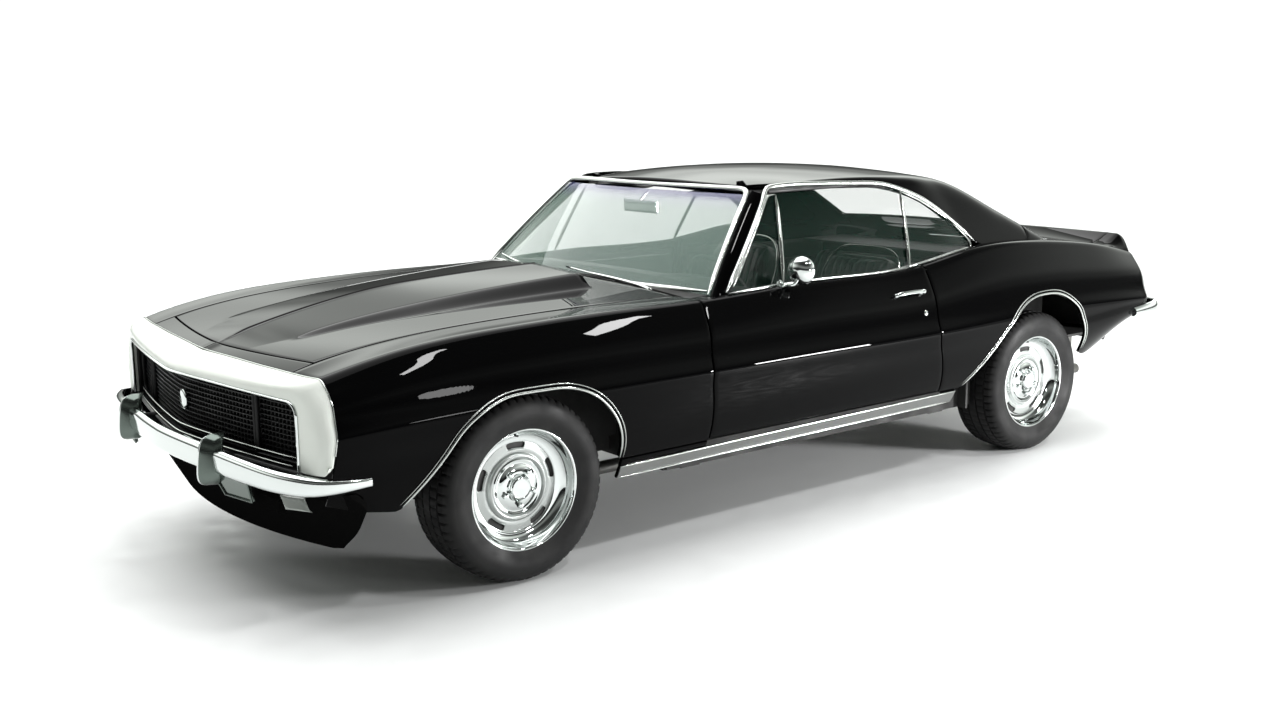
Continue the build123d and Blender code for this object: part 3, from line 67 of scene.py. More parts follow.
# x, then half width and height of sill, of side crease, of shoulder, then height on the centre line
STATIONS = np.array([
    (-2.302, 0.790, 0.440, 0.862, 0.600, 0.735, 0.688, 0.700),
    (-2.180, 0.812, 0.410, 0.882, 0.606, 0.768, 0.740, 0.754),
    (-2.082, 0.825, 0.370, 0.895, 0.612, 0.787, 0.771, 0.786),
    (-1.843, 0.832, 0.330, 0.904, 0.622, 0.798, 0.824, 0.830),
    (-1.413, 0.832, 0.300, 0.913, 0.630, 0.802, 0.859, 0.870),
    (-1.000, 0.826, 0.285, 0.919, 0.632, 0.802, 0.868, 0.891),
    (-0.600, 0.818, 0.285, 0.921, 0.632, 0.802, 0.869, 0.902),
    (0.000, 0.815, 0.289, 0.921, 0.632, 0.802, 0.888, 0.905),
    (0.540, 0.815, 0.293, 0.921, 0.632, 0.802, 0.894, 0.912),
    (0.933, 0.820, 0.299, 0.919, 0.638, 0.800, 0.946, 0.958),
    (1.333, 0.830, 0.330, 0.915, 0.650, 0.790, 0.950, 0.968),
    (1.735, 0.832, 0.398, 0.903, 0.644, 0.776, 0.917, 0.944),
    (2.050, 0.826, 0.520, 0.888, 0.632, 0.766, 0.868, 0.896),
    (2.302, 0.795, 0.572, 0.860, 0.615, 0.748, 0.806, 0.832),
])
SIDE_BULGE, SHOULDER_BULGE = 0.030, 0.024
CREASE_RUN, SHOULDER_RUN = 0.030, 0.034
# how near the neighbouring control points stand to the crease and to the shoulder

# ---------------------------------------------------------------- curve and surface helpers


def natural_spline(xs, ys):
    """A smooth curve through stations: cubic pieces whose second slopes agree, zero at both ends."""
    xs, ys = np.asarray(xs, float), np.asarray(ys, float)
    flat = ys.reshape(len(xs), -1)
    gap = np.diff(xs)
    rise = np.diff(flat, axis=0) / gap[:, None]
    system = np.eye(len(xs))
    inner = np.arange(1, len(xs) - 1)
    system[inner, inner - 1] = gap[:-1]
    system[inner, inner] = 2 * (gap[:-1] + gap[1:])
    system[inner, inner + 1] = gap[1:]
    load = np.zeros_like(flat)
    load[1:-1] = 6 * np.diff(rise, axis=0)
    bend = np.linalg.solve(system, load)

    def at(x):
        x = np.asarray(x, float)
        i = np.clip(np.searchsorted(xs, x.ravel()) - 1, 0, len(xs) - 2)
        g = gap[i][:, None]
        left, right = x.ravel()[:, None] - xs[i][:, None], xs[i + 1][:, None] - x.ravel()[:, None]
        value = (bend[i] * right**3 + bend[i + 1] * left**3) / (6 * g)
        value += (flat[i] / g - bend[i] * g / 6) * right + (flat[i + 1] / g - bend[i + 1] * g / 6) * left
        return value.reshape(x.shape + ys.shape[1:])

    return at


def spline_weights(t, count, degree=3):
    """The share of each of count control points at t from 0 to 1, on a clamped uniform B-spline."""
    t = np.clip(np.asarray(t, float).ravel(), 0, 1 - 1e-9)
    knots = np.concatenate([np.zeros(degree), np.linspace(0, 1, count - degree + 1), np.ones(degree)])
    share = ((t[:, None] >= knots[:-1]) & (t[:, None] < knots[1:])).astype(float)
    for d in range(1, degree + 1):
        low, high = knots[d:-1] - knots[:-d - 1], knots[d + 1:] - knots[1:-d]
        a = np.divide(t[:, None] - knots[:-d - 1], low, out=np.zeros((len(t), len(low))), where=low > 0)
        b = np.divide(knots[d + 1:] - t[:, None], high, out=np.zeros((len(t), len(high))), where=high > 0)
        share = a * share[:, :-1] + b * share[:, 1:]
    return share


def unit(v):
    """Vectors at length one."""
    return v / np.maximum(np.linalg.norm(v, axis=-1, keepdims=True), 1e-12)


def lerp(a, b, f):
    """The value a share f of the way from a to b."""
    return a + (b - a) * f


def smooth_step(x, a, b):
    """0 up to a, 1 from b on, and between them a cubic that starts and ends level."""
    s = np.clip((x - a) / (b - a), 0, 1)
    return s * s * (3 - 2 * s)


def resample(points, count):
    """The polyline at evenly spaced lengths along it."""
    points = np.asarray(points, float)
    run = np.concatenate([[0], np.cumsum(np.linalg.norm(np.diff(points, axis=0), axis=1))])
    want = np.linspace(0, run[-1], count)
    return np.stack([np.interp(want, run, points[:, k]) for k in range(points.shape[1])], -1)


def curve(controls, count):
    """A clamped cubic B-spline over a few control points."""
    controls = np.asarray(controls, float)
    degree = min(3, len(controls) - 1)
    return spline_weights(np.linspace(0, 1, count), len(controls), degree) @ controls


def coons(low, high, start, end):
    """A grid inside four edges: the two ruled blends added, less the blend of the corners of start and end."""
    m, n = len(start), len(low)
    low[0], low[-1], high[0], high[-1] = start[0], end[0], start[-1], end[-1]
    r, s = np.linspace(0, 1, m)[:, None, None], np.linspace(0, 1, n)[None, :, None]
    across = low[None] * (1 - r) + high[None] * r
    along = start[:, None] * (1 - s) + end[:, None] * s
    corners = (low[0] * (1 - r) + high[0] * r) * (1 - s) + (low[-1] * (1 - r) + high[-1] * r) * s
    return across + along - corners


# ---------------------------------------------------------------- meshes


def make_piece(name, points, faces, body, material, slot=None, smooth=40, outward=True):
    """Puts vertices and faces into an object, shaded smooth up to an edge angle."""
    name = f"{name}_form" if name in NODES else name
    mesh = bpy.data.meshes.new(name)
    mesh.from_pydata(np.asarray(points, float).reshape(-1, 3).tolist(), [], faces)
    mesh.update()
    if outward:
        work = bmesh.new()
        work.from_mesh(mesh)
        bmesh.ops.remove_doubles(work, verts=work.verts, dist=2e-5)
        bmesh.ops.recalc_face_normals(work, faces=work.faces)
        work.to_mesh(mesh)
        work.free()
    mesh.polygons.foreach_set("use_smooth", np.ones(len(mesh.polygons), bool))
    mesh.set_sharp_from_angle(angle=np.radians(smooth))
    piece = bpy.data.objects.new(name, mesh)
    bpy.context.scene.collection.objects.link(piece)
    mesh.materials.append(material)
    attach(piece, body)
    return piece


def grid_faces(m, n, close_m=False, close_n=False, base=0, flip=False):
    """Quads of an m by n grid of vertices, joined round in either direction where asked."""
    i = np.arange(m if close_m else m - 1)[:, None]
    j = np.arange(n if close_n else n - 1)[None, :]
    a = i * n + j
    b = i * n + (j + 1) % n
    c = ((i + 1) % m) * n + (j + 1) % n
    d = ((i + 1) % m) * n + j
    quads = np.stack([a, b, c, d] if not flip else [a, d, c, b], -1).reshape(-1, 4) + base
    return quads.tolist()


def grid_normals(points):
    """Unit normals of a grid from its two central differences."""
    return unit(np.cross(np.gradient(points, axis=1), np.gradient(points, axis=0)))


def rim_loop(m, n):
    """Indices of a grid's border, once round."""
    index = np.arange(m * n).reshape(m, n)
    return np.concatenate([index[0, :-1], index[:-1, -1], index[-1, :0:-1], index[:0:-1, 0]])


def shell_arrays(outer, thick, normals=None, roll=ROLL, inner=None):
    """A closed panel: the outer grid, an edge rolled through a quarter circle, and the inner grid behind it."""
    m, n = outer.shape[:2]
    normals = grid_normals(outer) if normals is None else normals
    inner = outer - normals * thick if inner is None else inner
    outward = np.zeros_like(outer)
    outward[0] += unit(outer[0] - outer[1])
    outward[-1] += unit(outer[-1] - outer[-2])
    outward[:, 0] += unit(outer[:, 0] - outer[:, 1])
    outward[:, -1] += unit(outer[:, -1] - outer[:, -2])
    rim = rim_loop(m, n)
    edge, out, up = (a.reshape(-1, 3)[rim] for a in (outer, outward, normals))
    top = outer - outward * roll
    rounds = [edge - roll * out - roll * up + roll * (np.cos(a) * up + np.sin(a) * out)
              for a in np.radians((22.5, 45, 67.5, 90))]
    size = m * n
    points = np.concatenate([top.reshape(-1, 3), inner.reshape(-1, 3)] + rounds)
    faces = grid_faces(m, n) + grid_faces(m, n, base=size, flip=True)
    loops = [rim] + [2 * size + k * len(rim) + np.arange(len(rim)) for k in range(4)] + [rim + size]
    for a, b in zip(loops[:-1], loops[1:]):
        faces += np.stack([a, b, np.roll(b, -1), np.roll(a, -1)], -1).tolist()
    return points, faces


def mirrored(points):
    """Points mirrored in the car's middle plane."""
    return np.asarray(points) * np.array([1, -1, 1])


def join(parts):
    """Several (points, faces) pairs as one."""
    points, faces, base = [], [], 0
    for p, f in parts:
        p = np.asarray(p, float).reshape(-1, 3)
        points.append(p)
        faces += [[v + base for v in face] for face in f]
        base += len(p)
    return np.concatenate(points), faces


def flipped(part):
    """A part's mirror image, its faces turned round so that they still look outward."""
    return mirrored(part[0]), [face[::-1] for face in part[1]]


def path_frames(path, up, closed=False):
    """Tangent, side and lift along a path; the side is square to the tangent and to the up given."""
    path = np.asarray(path, float)
    if closed:
        tangent = unit(np.roll(path, -1, 0) - np.roll(path, 1, 0))
    else:
        tangent = unit(np.gradient(path, axis=0))
    side = unit(np.cross(tangent, np.broadcast_to(up, path.shape)))
    return tangent, side, np.cross(side, tangent)


def sweep(path, profile, up, closed=False, scale=None):
    """A closed profile (side, lift) carried along a path, its ends closed by a face unless the path is a ring."""
    path, profile = np.asarray(path, float), np.asarray(profile, float)
    _, side, lift = path_frames(path, up, closed)
    size = np.ones(len(path)) if scale is None else scale
    points = path[:, None] + size[:, None, None] * (
        side[:, None] * profile[None, :, :1] + lift[:, None] * profile[None, :, 1:])
    m, n = points.shape[:2]
    faces = grid_faces(m, n, close_m=closed, close_n=True)
    if not closed:
        faces += [list(range(n))[::-1], [(m - 1) * n + k for k in range(n)]]
    return points, faces


def oval(width, height, count=12, power=2.0):
    """A rounded bar's section: a super-ellipse of that width and height."""
    c, s = circle(count)
    return spots(drawn(c, 2 / power) * width / 2, drawn(s, 2 / power) * height / 2)


def half_round(width, height, count=9):
    """A moulding's section: a low half ellipse on a flat foot that sinks 1 mm."""
    a = np.linspace(0, np.pi, count)
    top = spots(np.cos(a) * width / 2, np.sin(a) * height)
    return np.concatenate([top, [(-width / 2, -0.001), (width / 2, -0.001)]])


def stacked(rings, first=True, last=True):
    """Rings of equal count joined into a tube, whose first and last ring are closed by a face where asked."""
    rings = np.array(rings)
    m, n = rings.shape[:2]
    ends = [list(range(n))] * first + [[(m - 1) * n + k for k in range(n)]] * last
    return rings, grid_faces(m, n, close_n=True) + ends


def circle(count):
    """Cosines and sines at even steps once round."""
    a = np.linspace(0, 2 * np.pi, count, endpoint=False)
    return np.cos(a), np.sin(a)


def rings_about(centre, axis, side, up, count, outline):
    """Circles about an axis, one for each (radius, distance along the axis) of an outline."""
    c, s = circle(count)
    axis, side, up = (np.asarray(v, float) for v in (axis, side, up))
    return [centre + r * (c[:, None] * side + s[:, None] * up) + axis * d for r, d in outline]


def drawn(c, power):
    """A sine or cosine drawn out towards the corners of a box: its size to a power, its sign kept."""
    return np.sign(c) * np.abs(c) ** power


def lattice(rows, columns):
    """Two grids that hold each row's and each column's value."""
    return np.meshgrid(rows, columns, indexing="ij")


def spots(*coordinates):
    """Points from their x, y and z (or any numbers): one array with the coordinates on its last axis."""
    return np.stack(coordinates, -1)


def turned(profile, steps=96):
    """A closed (radius, y) outline turned about the wheel's axle, whose middle is the origin."""
    a = np.linspace(0, 2 * np.pi, steps, endpoint=False)
    profile = np.asarray(profile, float)
    r, y = profile[:, 0][None], profile[:, 1][None]
    points = spots(np.cos(a)[:, None] * r, np.broadcast_to(y, (steps, len(profile))), np.sin(a)[:, None] * r)
    return points, grid_faces(steps, len(profile), close_m=True, close_n=True)


# ---------------------------------------------------------------- body skin

station_curve = natural_spline(STATIONS[:, 0], STATIONS[:, 1:])
NET_SIZE = 18


def bulged(a, b, f, bulge):
    """A point part way along a chord, pushed out square to it by a parabola."""
    chord = b - a
    out = spots(chord[..., 1], -chord[..., 0])
    out = out * np.sign(out[..., :1])
    return a + chord * f + unit(out) * bulge * 4 * f * (1 - f)


def section_net(x):
    """Control points (half width, height) of the body's section at x, from the sill up and in to the centre."""
    v = station_curve(np.asarray(x, float))
    sill, crease, shoulder = v[..., 0:2], v[..., 2:4], v[..., 4:6]
    top = spots(np.zeros_like(v[..., 6]), v[..., 6])
    down, up = unit(sill - crease), unit(shoulder - crease)
    run = CREASE_RUN * np.minimum(1, np.linalg.norm(sill - crease, axis=-1, keepdims=True) / .30)
    points = [sill, bulged(sill, crease, .3, SIDE_BULGE), bulged(sill, crease, .62, SIDE_BULGE)]
    points += [crease + down * 2 * run + (0.006, 0), crease + down * run * .4 + (0.004, 0),
               crease + up * CREASE_RUN * .5 + (0.003, 0), crease + up * 2 * CREASE_RUN + (0.006, 0)]
    points += [bulged(crease, shoulder, f, SHOULDER_BULGE) for f in (.45, .66)]
    inward = unit(top - shoulder)
    points += [shoulder - up * SHOULDER_RUN + (0.014, 0.004), shoulder + (0.008, 0.006),
               shoulder + inward * SHOULDER_RUN + (0, 0.004)]
    for f in (.12, .25, .42, .62, .82, 1):
        points.append(spots(shoulder[..., 0] * (1 - f), lerp(shoulder[..., 1], top[..., 1], 1 - (1 - f) ** 2)))
    points[-2][..., 1] = points[-1][..., 1]
    return np.stack(points, -2)


def section(x, t):
    """(half width, height) of the body at x; t runs from 0 at the sill to 1 on the centre line."""
    x, t = np.broadcast_arrays(np.asarray(x, float), np.asarray(t, float))
    net = section_net(x.ravel())
    point = np.einsum("nc,nck->nk", spline_weights(t, NET_SIZE), net)
    return point.reshape(x.shape + (2,))


def skin(x, t):
    """Points of the left body side, with the tail corner turned in as a quarter of an ellipse."""
    x, t = np.broadcast_arrays(np.asarray(x, float), np.asarray(t, float))
    turn = np.clip((x - TURN_X) / TURN_RUN, 0, 1) * np.pi / 2
    real_x = np.where(x > TURN_X, TURN_X + TURN_RUN * np.sin(turn), x)
    half = section(np.minimum(x, 2.30), t)
    y = half[..., 0] - TURN_IN * (1 - np.cos(turn)) * np.clip(half[..., 0] / .7, 0, 1) ** 4
    return spots(real_x, -y, half[..., 1])


def skin_normal(x, t):
    """Outward unit normal of the left body side, from two short steps on the skin."""
    step = 1e-4
    along = skin(x + step, t) - skin(x - step, t)
    across = skin(x, np.clip(t + step, 0, 1)) - skin(x, np.clip(t - step, 0, 1))
    return unit(np.cross(along, across))


T_TABLE = np.linspace(0, 1, 401)


def t_at_height(x, z):
    """The t of the side at a height, below the shoulder."""
    x, z = np.broadcast_arrays(np.asarray(x, float), np.asarray(z, float))
    low = T_TABLE[:300]
    heights = np.maximum.accumulate(section(x.ravel()[:, None], low[None])[..., 1], axis=1)
    return np.array([np.interp(value, row, low) for value, row in zip(z.ravel(), heights)]).reshape(x.shape)


def t_at_half(x, y):
    """The t of the top at a distance from the centre line, inboard of the shoulder."""
    x, y = np.broadcast_arrays(np.asarray(x, float), np.asarray(y, float))
    high = T_TABLE[190:]
    halves = section(x.ravel()[:, None], high[None])[..., 0]
    return np.array([np.interp(-value, -row, high) for value, row in zip(y.ravel(), halves)]).reshape(x.shape)


def side_line(points, count):
    """A line given as (x, height) as evenly spaced (x, t) pairs on the skin."""
    line = resample(points, count)
    return spots(line[:, 0], t_at_height(line[:, 0], line[:, 1]))


def on_skin(pairs):
    """Points on the body's left side for (x, t) pairs."""
    return skin(pairs[..., 0], pairs[..., 1])


def body_panel(low, high, start, end, thick=PANEL_T, roll=ROLL):
    """A closed left-hand panel on the skin inside four (x, t) edges."""
    pairs = coons(low, high, start, end)
    outer = on_skin(pairs)
    return shell_arrays(outer, thick, skin_normal(pairs[..., 0], pairs[..., 1]), roll)


# ---------------------------------------------------------------- wheel openings and shut lines


def arch_points(axle_x, front_run, rear_run, top_z, lean):
    """The wheel opening's edge in side view, front foot to rear foot: a raked line, two arcs and a steep line."""
    def arc(a, b, c, count=24):
        a, b, c = (np.array(p, float) for p in (a, b, c))
        m = np.array([b - a, c - b])
        centre = np.linalg.solve(m, np.array([(b @ b - a @ a) / 2, (c @ c - b @ b) / 2]))
        ends = [np.arctan2(*(p - centre)[::-1]) for p in (a, b, c)]
        turns = np.unwrap(ends)
        angle = np.linspace(turns[0], turns[2], count)
        radius = np.linalg.norm(a - centre)
        return centre + radius * spots(np.cos(angle), np.sin(angle))
    front = arc((axle_x - lean - .150, top_z - .112), (axle_x - lean - .062, top_z - .040),
                (axle_x - lean + .060, top_z))
    rear = arc((axle_x + rear_run - .270, top_z), (axle_x + rear_run - .078, top_z - .082),
               (axle_x + rear_run, top_z - .245))
    foot = [(axle_x - front_run, .300)]
    path = np.concatenate([foot, front, rear, [(axle_x + rear_run, .290)]])
    even = resample(path, 200)
    kernel = np.exp(-np.linspace(-2, 2, 25) ** 2)
    kernel /= kernel.sum()
    padded = np.concatenate([2 * even[0] - even[12:0:-1], even, 2 * even[-1] - even[-2:-14:-1]])
    return np.stack([np.convolve(padded[:, k], kernel, "valid") for k in (0, 1)], -1)


FRONT_ARCH = arch_points(AXLE_X["front"], .485, .372, .657, .130)
REAR_ARCH = arch_points(AXLE_X["rear"], .595, .314, .722, .118)


def arch_between(arch, front_z, rear_z):
    """The part of an opening's edge above the two heights where it meets the panel's foot."""
    top = int(np.argmax(arch[:, 1]))
    start = int(np.argmax(arch[:, 1] > front_z))
    end = top + int(np.argmax(np.append(arch[top:, 1], 0) < rear_z))
    first = [np.interp(front_z, arch[:top, 1], arch[:top, 0]), front_z]
    last = [np.interp(-rear_z, -arch[top:, 1], arch[top:, 0]), rear_z]
    return np.concatenate([[first], arch[start:end], [last]])


def door_edge_x(edge, z):
    """The door's slanted front or rear edge at a height, rounded where it turns at the crease."""
    knots = {"front": (-.622, -.651, -.600), "rear": (.665, .588, .600)}[edge]
    heights = np.array([.372, .632, .968])
    return curve_through(heights, knots, z)


def curve_through(xs, ys, x, soften=.05):
    """Straight lines between knots, each corner rounded by averaging over a short span."""
    offsets = np.linspace(-soften, soften, 9)
    return np.mean([np.interp(np.asarray(x) + o, xs, ys) for o in offsets], axis=0)


def hood_half(x):
    """Half width of the hood, which grows evenly from its front to the cowl."""
    return lerp(HOOD_FRONT_HALF, HOOD_REAR_HALF, (x - HOOD_FRONT_X) / (COWL_X - HOOD_FRONT_X))


# ---------------------------------------------------------------- greenhouse

GLASS_BASE_Z, GLASS_TOP_Z = 0.860, 1.320
CROWN = np.array([(-.400, 1.245), (-.190, 1.2680), (.030, 1.2935), (.250, 1.3055), (.480, 1.3045), (.700, 1.2950),
                  (.900, 1.2755), (1.050, 1.2430), (1.200, 1.1790), (1.350, 1.1040), (1.500, 1.0270),
                  (1.640, .9560), (1.720, .9180)])
crown_curve = natural_spline(CROWN[:, 0], CROWN[:, 1])
DRIP_LINE = np.array([(-.250, 1.236), (-.136, 1.250), (.081, 1.257), (.428, 1.246), (.560, 1.234), (.640, 1.212),
                      (.720, 1.184), (.883, 1.087), (1.020, .985)])
# height of the gutter above the side windows, and on down behind the quarter window
drip_curve = natural_spline(DRIP_LINE[:, 0], DRIP_LINE[:, 1])


def side_plane(x, z):
    """Half width of the greenhouse's side at a point in side view: ruled between its base and its top outline."""
    h = (z - GLASS_BASE_Z) / (GLASS_TOP_Z - GLASS_BASE_Z)
    front = lerp(.779, .564, h)
    s = (x - (.756 - .066 * h)) / (.938 - .328 * h)
    rear = lerp(.779 - .071 * s, .562 - .062 * s, h)
    blend = np.clip(s * 3, 0, 1)
    blend = blend * blend * (3 - 2 * blend)
    return lerp(front, rear, blend) + .012 * 4 * h * (1 - h)


def crown_height(x, y):
    """Height of the roof and rear window surface: the centre line less a parabola across."""
    drop = np.interp(x, [-.2, .25, .7, 1.05, 1.64], [.074, .084, .080, .060, .030])
    return crown_curve(x) - drop * (np.asarray(y) / .85) ** 2


def roof_corner(x):
    """Where the side and the crown would meet in a sharp edge, found by a few repeats."""
    z = crown_curve(x) - .04
    for _ in range(8):
        y = side_plane(x, z)
        z = crown_height(x, y)
    return y, z


def roof_net(x):
    """Control points (half width, height) of the greenhouse section: up the side, round the edge and over."""
    y, z = roof_corner(x)
    soft = np.interp(x, [0, .5, .9, 1.3, 1.6], [.022, .030, .090, .110, .070])
    foot_z = np.minimum(np.interp(x, [.5, .75, 1.1, 1.6], [.86, .88, .93, .93]), z - .02)
    rows = []
    for f in (0, .25, .5, .75):
        zz = foot_z + (z - soft - foot_z) * f
        rows.append(spots(side_plane(x, zz), zz))
    low = spots(side_plane(x, z - soft), z - soft)
    corner = spots(y, z)
    inner_y = y - soft * 1.3
    inner = spots(inner_y, crown_height(x, inner_y))
    rows += [low, lerp(low, corner, .7), lerp(inner, corner, .7), inner]
    for f in (.2, .4, .6, .8, 1):
        yy = inner_y * (1 - f)
        rows.append(spots(yy, crown_height(x, yy if f < 1 else yy * 0)))
    rows[-2][..., 1] = rows[-1][..., 1]
    return np.stack(rows, -2)


def roof_skin(x, t):
    """Left half of the greenhouse; t runs from 0 at the side's foot to 1 on the centre line."""
    x, t = np.broadcast_arrays(np.asarray(x, float), np.asarray(t, float))
    net = roof_net(x.ravel())
    p = np.einsum("nc,nck->nk", spline_weights(t, net.shape[-2]), net).reshape(x.shape + (2,))
    return spots(x, -p[..., 0], p[..., 1])


def roof_t(x, value, axis):
    """The t of the greenhouse section at a height (axis 2) or a half width (axis 1)."""
    x, value = np.broadcast_arrays(np.asarray(x, float), np.asarray(value, float))
    points = roof_skin(x.ravel()[:, None], T_TABLE[None])
    row = np.maximum.accumulate(points[..., 2] if axis == 2 else points[..., 1], axis=1)
    want = value.ravel() if axis == 2 else -value.ravel()
    return np.array([np.interp(w, r, T_TABLE) for w, r in zip(want, row)]).reshape(x.shape)


def screen_point(a, h):
    """Windshield surface: across a from -1 to 1 a parabola in plan, up h from base to header, slightly crowned."""
    centre_x, edge_x = lerp(-.646, -.118, h), lerp(-.534, -.090, h)
    half = lerp(.766, .560, h)
    x = centre_x + (edge_x - centre_x) * a**2 * (1 + .25 * a**2) / 1.25
    lift = .014 * 4 * h * (1 - h)
    return spots(x - lift * .65, half * a, lerp(GLASS_BASE_Z, GLASS_TOP_Z, h) + lift * .75)


def side_point(x, z):
    """A point on the left side glass."""
    x, z = np.broadcast_arrays(np.asarray(x, float), np.asarray(z, float))
    return spots(x, -side_plane(x, z), z)


# ---------------------------------------------------------------- finishes


class Nodes:
    """A material's node tree with short calls for the few nodes that the finishes use."""

    def __init__(self, name):
        self.material = bpy.data.materials.new(name)
        self.material.use_nodes = True
        self.tree = self.material.node_tree
        self.shader = self.tree.nodes["Principled BSDF"]
        self.where = self.add("ShaderNodeTexCoord").outputs["Object"]

    def add(self, kind, **values):
        node = self.tree.nodes.new(kind)
        for key, value in values.items():
            if hasattr(node, key):
                setattr(node, key, value)
            else:
                node.inputs[key.replace("_", " ")].default_value = value
        return node

    def link(self, a, b):
        self.tree.links.new(a, b)
        return self

    def noise(self, scale, detail=2.0, stretch=None):
        node = self.add("ShaderNodeTexNoise", Scale=scale, Detail=detail)
        where = self.where
        if stretch:
            mapping = self.add("ShaderNodeMapping")
            mapping.inputs["Scale"].default_value = stretch
            self.link(where, mapping.inputs["Vector"])
            where = mapping.outputs["Vector"]
        self.link(where, node.inputs["Vector"])
        return node.outputs["Fac"]

    def spread(self, source, low, high, from_low=.3, from_high=.7):
        node = self.add("ShaderNodeMapRange")
        for key, value in zip(("From Min", "From Max", "To Min", "To Max"), (from_low, from_high, low, high)):
            node.inputs[key].default_value = value
        self.link(source, node.inputs["Value"])
        return node.outputs["Result"]

    def mix(self, factor, a, b):
        node = self.add("ShaderNodeMix", data_type="RGBA")
        node.inputs["A"].default_value, node.inputs["B"].default_value = (*a, 1), (*b, 1)
        self.link(factor, node.inputs["Factor"])
        return node.outputs["Result"]

    def bump(self, source, distance, strength=1.0, after=None):
        node = self.add("ShaderNodeBump", Strength=strength, Distance=distance)
        self.link(source, node.inputs["Height"])
        if after is not None:
            self.link(after, node.inputs["Normal"])
        return node.outputs["Normal"]


def finish(name, colour, rough=.4, metal=0.0, spread=.25, rough_scale=9, grain=(), mottle=None, **sockets):
    """A finish: one colour or two mottled by noise, roughness that wanders, and bumps at one or more scales."""
    n = Nodes(name)
    s = n.shader.inputs
    s["Base Color"].default_value = (*colour, 1)
    s["Metallic"].default_value = metal
    for key, value in sockets.items():
        s[key.replace("_", " ")].default_value = value
    if mottle:
        scale, other = mottle
        n.link(n.mix(n.spread(n.noise(scale, 4), 0, 1), colour, other), s["Base Color"])
    n.link(n.spread(n.noise(rough_scale, 5), rough * (1 - spread), rough * (1 + spread)), s["Roughness"])
    normal = None
    for scale, distance, *stretch in grain:
        normal = n.bump(n.noise(scale, 2, stretch[0] if stretch else None), distance, 1.0, normal)
    if normal is not None:
        n.link(normal, s["Normal"])
    return n.material


def glass_finish(name, tint, clear, band=None):
    """Tinted glass: mostly see-through, less so at a glancing angle, with a deeper band from a height up."""
    n = Nodes(name)
    s = n.shader.inputs
    s["Roughness"].default_value = .015
    s["Specular IOR Level"].default_value = 1.0
    s["Base Color"].default_value = (*tint, 1)
    facing = n.add("ShaderNodeLayerWeight", Blend=.30).outputs["Facing"]
    alpha = n.spread(facing, clear, .92, .58, 1.0)
    if band:
        low, high, colour, most = band
        axes = n.add("ShaderNodeSeparateXYZ")
        n.link(n.where, axes.inputs[0])
        share = n.spread(axes.outputs["Z"], 0, 1, low, high)
        n.link(n.mix(share, tint, colour), s["Base Color"])
        larger = n.add("ShaderNodeMath", operation="MAXIMUM")
        n.link(alpha, larger.inputs[0]).link(n.spread(share, 0, most, 0, 1), larger.inputs[1])
        alpha = larger.outputs[0]
    n.link(alpha, s["Alpha"])
    return n.material


PAINT = dict(rough=.45, spread=.12, Specular_IOR_Level=.0, Coat_Weight=1.0, Coat_Roughness=.012, Coat_IOR=1.13)
BLACK = finish("gloss_black_paint", (.0012, .0012, .0013), grain=[(240, .000006)], **PAINT)
WHITE = finish("white_band_paint", (.80, .83, .78), grain=[(240, .000006)], mottle=(3, (.78, .81, .76)), **PAINT)
CHROME = finish("bright_plating", (.68, .71, .70), .06, 1.0, spread=.5, rough_scale=14)
TRIM = finish("polished_trim", (.52, .54, .52), .15, 1.0, spread=.4, rough_scale=30)
# A darker copy of the bright plating, kept in the chrome slot: painted dark reflection on the bumper guards' sides
# and on the plates under the bumper.
PLATE_PAINTED_DARK = finish("plating_painted_dark_reflection", (.13, .155, .14), .16, .9, spread=.4, rough_scale=12)
SILVER = finish("silver_wheel_paint", (.38, .40, .39), .32, .75, grain=[(700, .00003)], Coat_Weight=.5,
                Coat_Roughness=.15)
SATIN_BLACK = finish("satin_black", (.007, .007, .0075), .42, grain=[(420, .00005)], Specular_IOR_Level=.3)
# Flat black for the floor pan, frame, axle, firewall, bulkhead and wheel backs; the same finish also paints shade on
# the header strip's centre line, the cowl's air slots and the duct's rear end.
FLAT_BLACK = finish("underbody_black_and_painted_shade", (.010, .010, .010), .75, grain=[(55, .0005), (300, .0002)],
                    mottle=(7, (.016, .0155, .0145)))
SILL_SILVER = finish("sill_grey", (.19, .195, .19), .40, .6, grain=[(600, .00003)])
RUBBER = finish("tyre_rubber", (.007, .007, .0075), .62, grain=[(260, .00025)], mottle=(16, (.012, .0118, .0115)),
                Specular_IOR_Level=.22)
SEAL = finish("door_rubber", (.008, .008, .008), .62, grain=[(300, .0001)])
IRON = finish("cast_iron", (.10, .10, .10), .58, .6, grain=[(180, .0004)], mottle=(20, (.065, .058, .05)))
STEEL = finish("bare_steel", (.15, .15, .145), .45, .8, grain=[(90, .0003, (1, 8, 1))],
               mottle=(12, (.09, .085, .075)))
VINYL = finish("black_vinyl", (.007, .007, .0075), .45, grain=[(520, .00030), (60, .0004)], Sheen_Weight=.04)
HEADLINER = finish("headliner", (.035, .035, .034), .8, grain=[(700, .0003)])
CARPET = finish("carpet", (.010, .010, .010), .95, grain=[(900, .0015), (90, .001)], Sheen_Weight=.3)
CABIN = finish("cabin_plastic", (.013, .014, .014), .5, grain=[(380, .0002)])
GRILLE_BLACK = finish("grille_black", (.005, .005, .005), .38, Specular_IOR_Level=.3)
APRON_BLACK = finish("apron_black", (.004, .004, .004), .5, grain=[(240, .00002)], Specular_IOR_Level=0)
DIAL = finish("dial_face", (.02, .02, .02), .3)
MARK = finish("dial_marks", (.6, .6, .55), .5)
RED_LENS = finish("red_lens", (.33, .004, .006), .10, grain=[(300, .0004, (1, 8, 1))], Coat_Weight=1.0,
                  Coat_Roughness=.03)
GREY_LENS = finish("grey_lens", (.27, .29, .27), .18, .3, grain=[(220, .0012)], Coat_Weight=1.0)
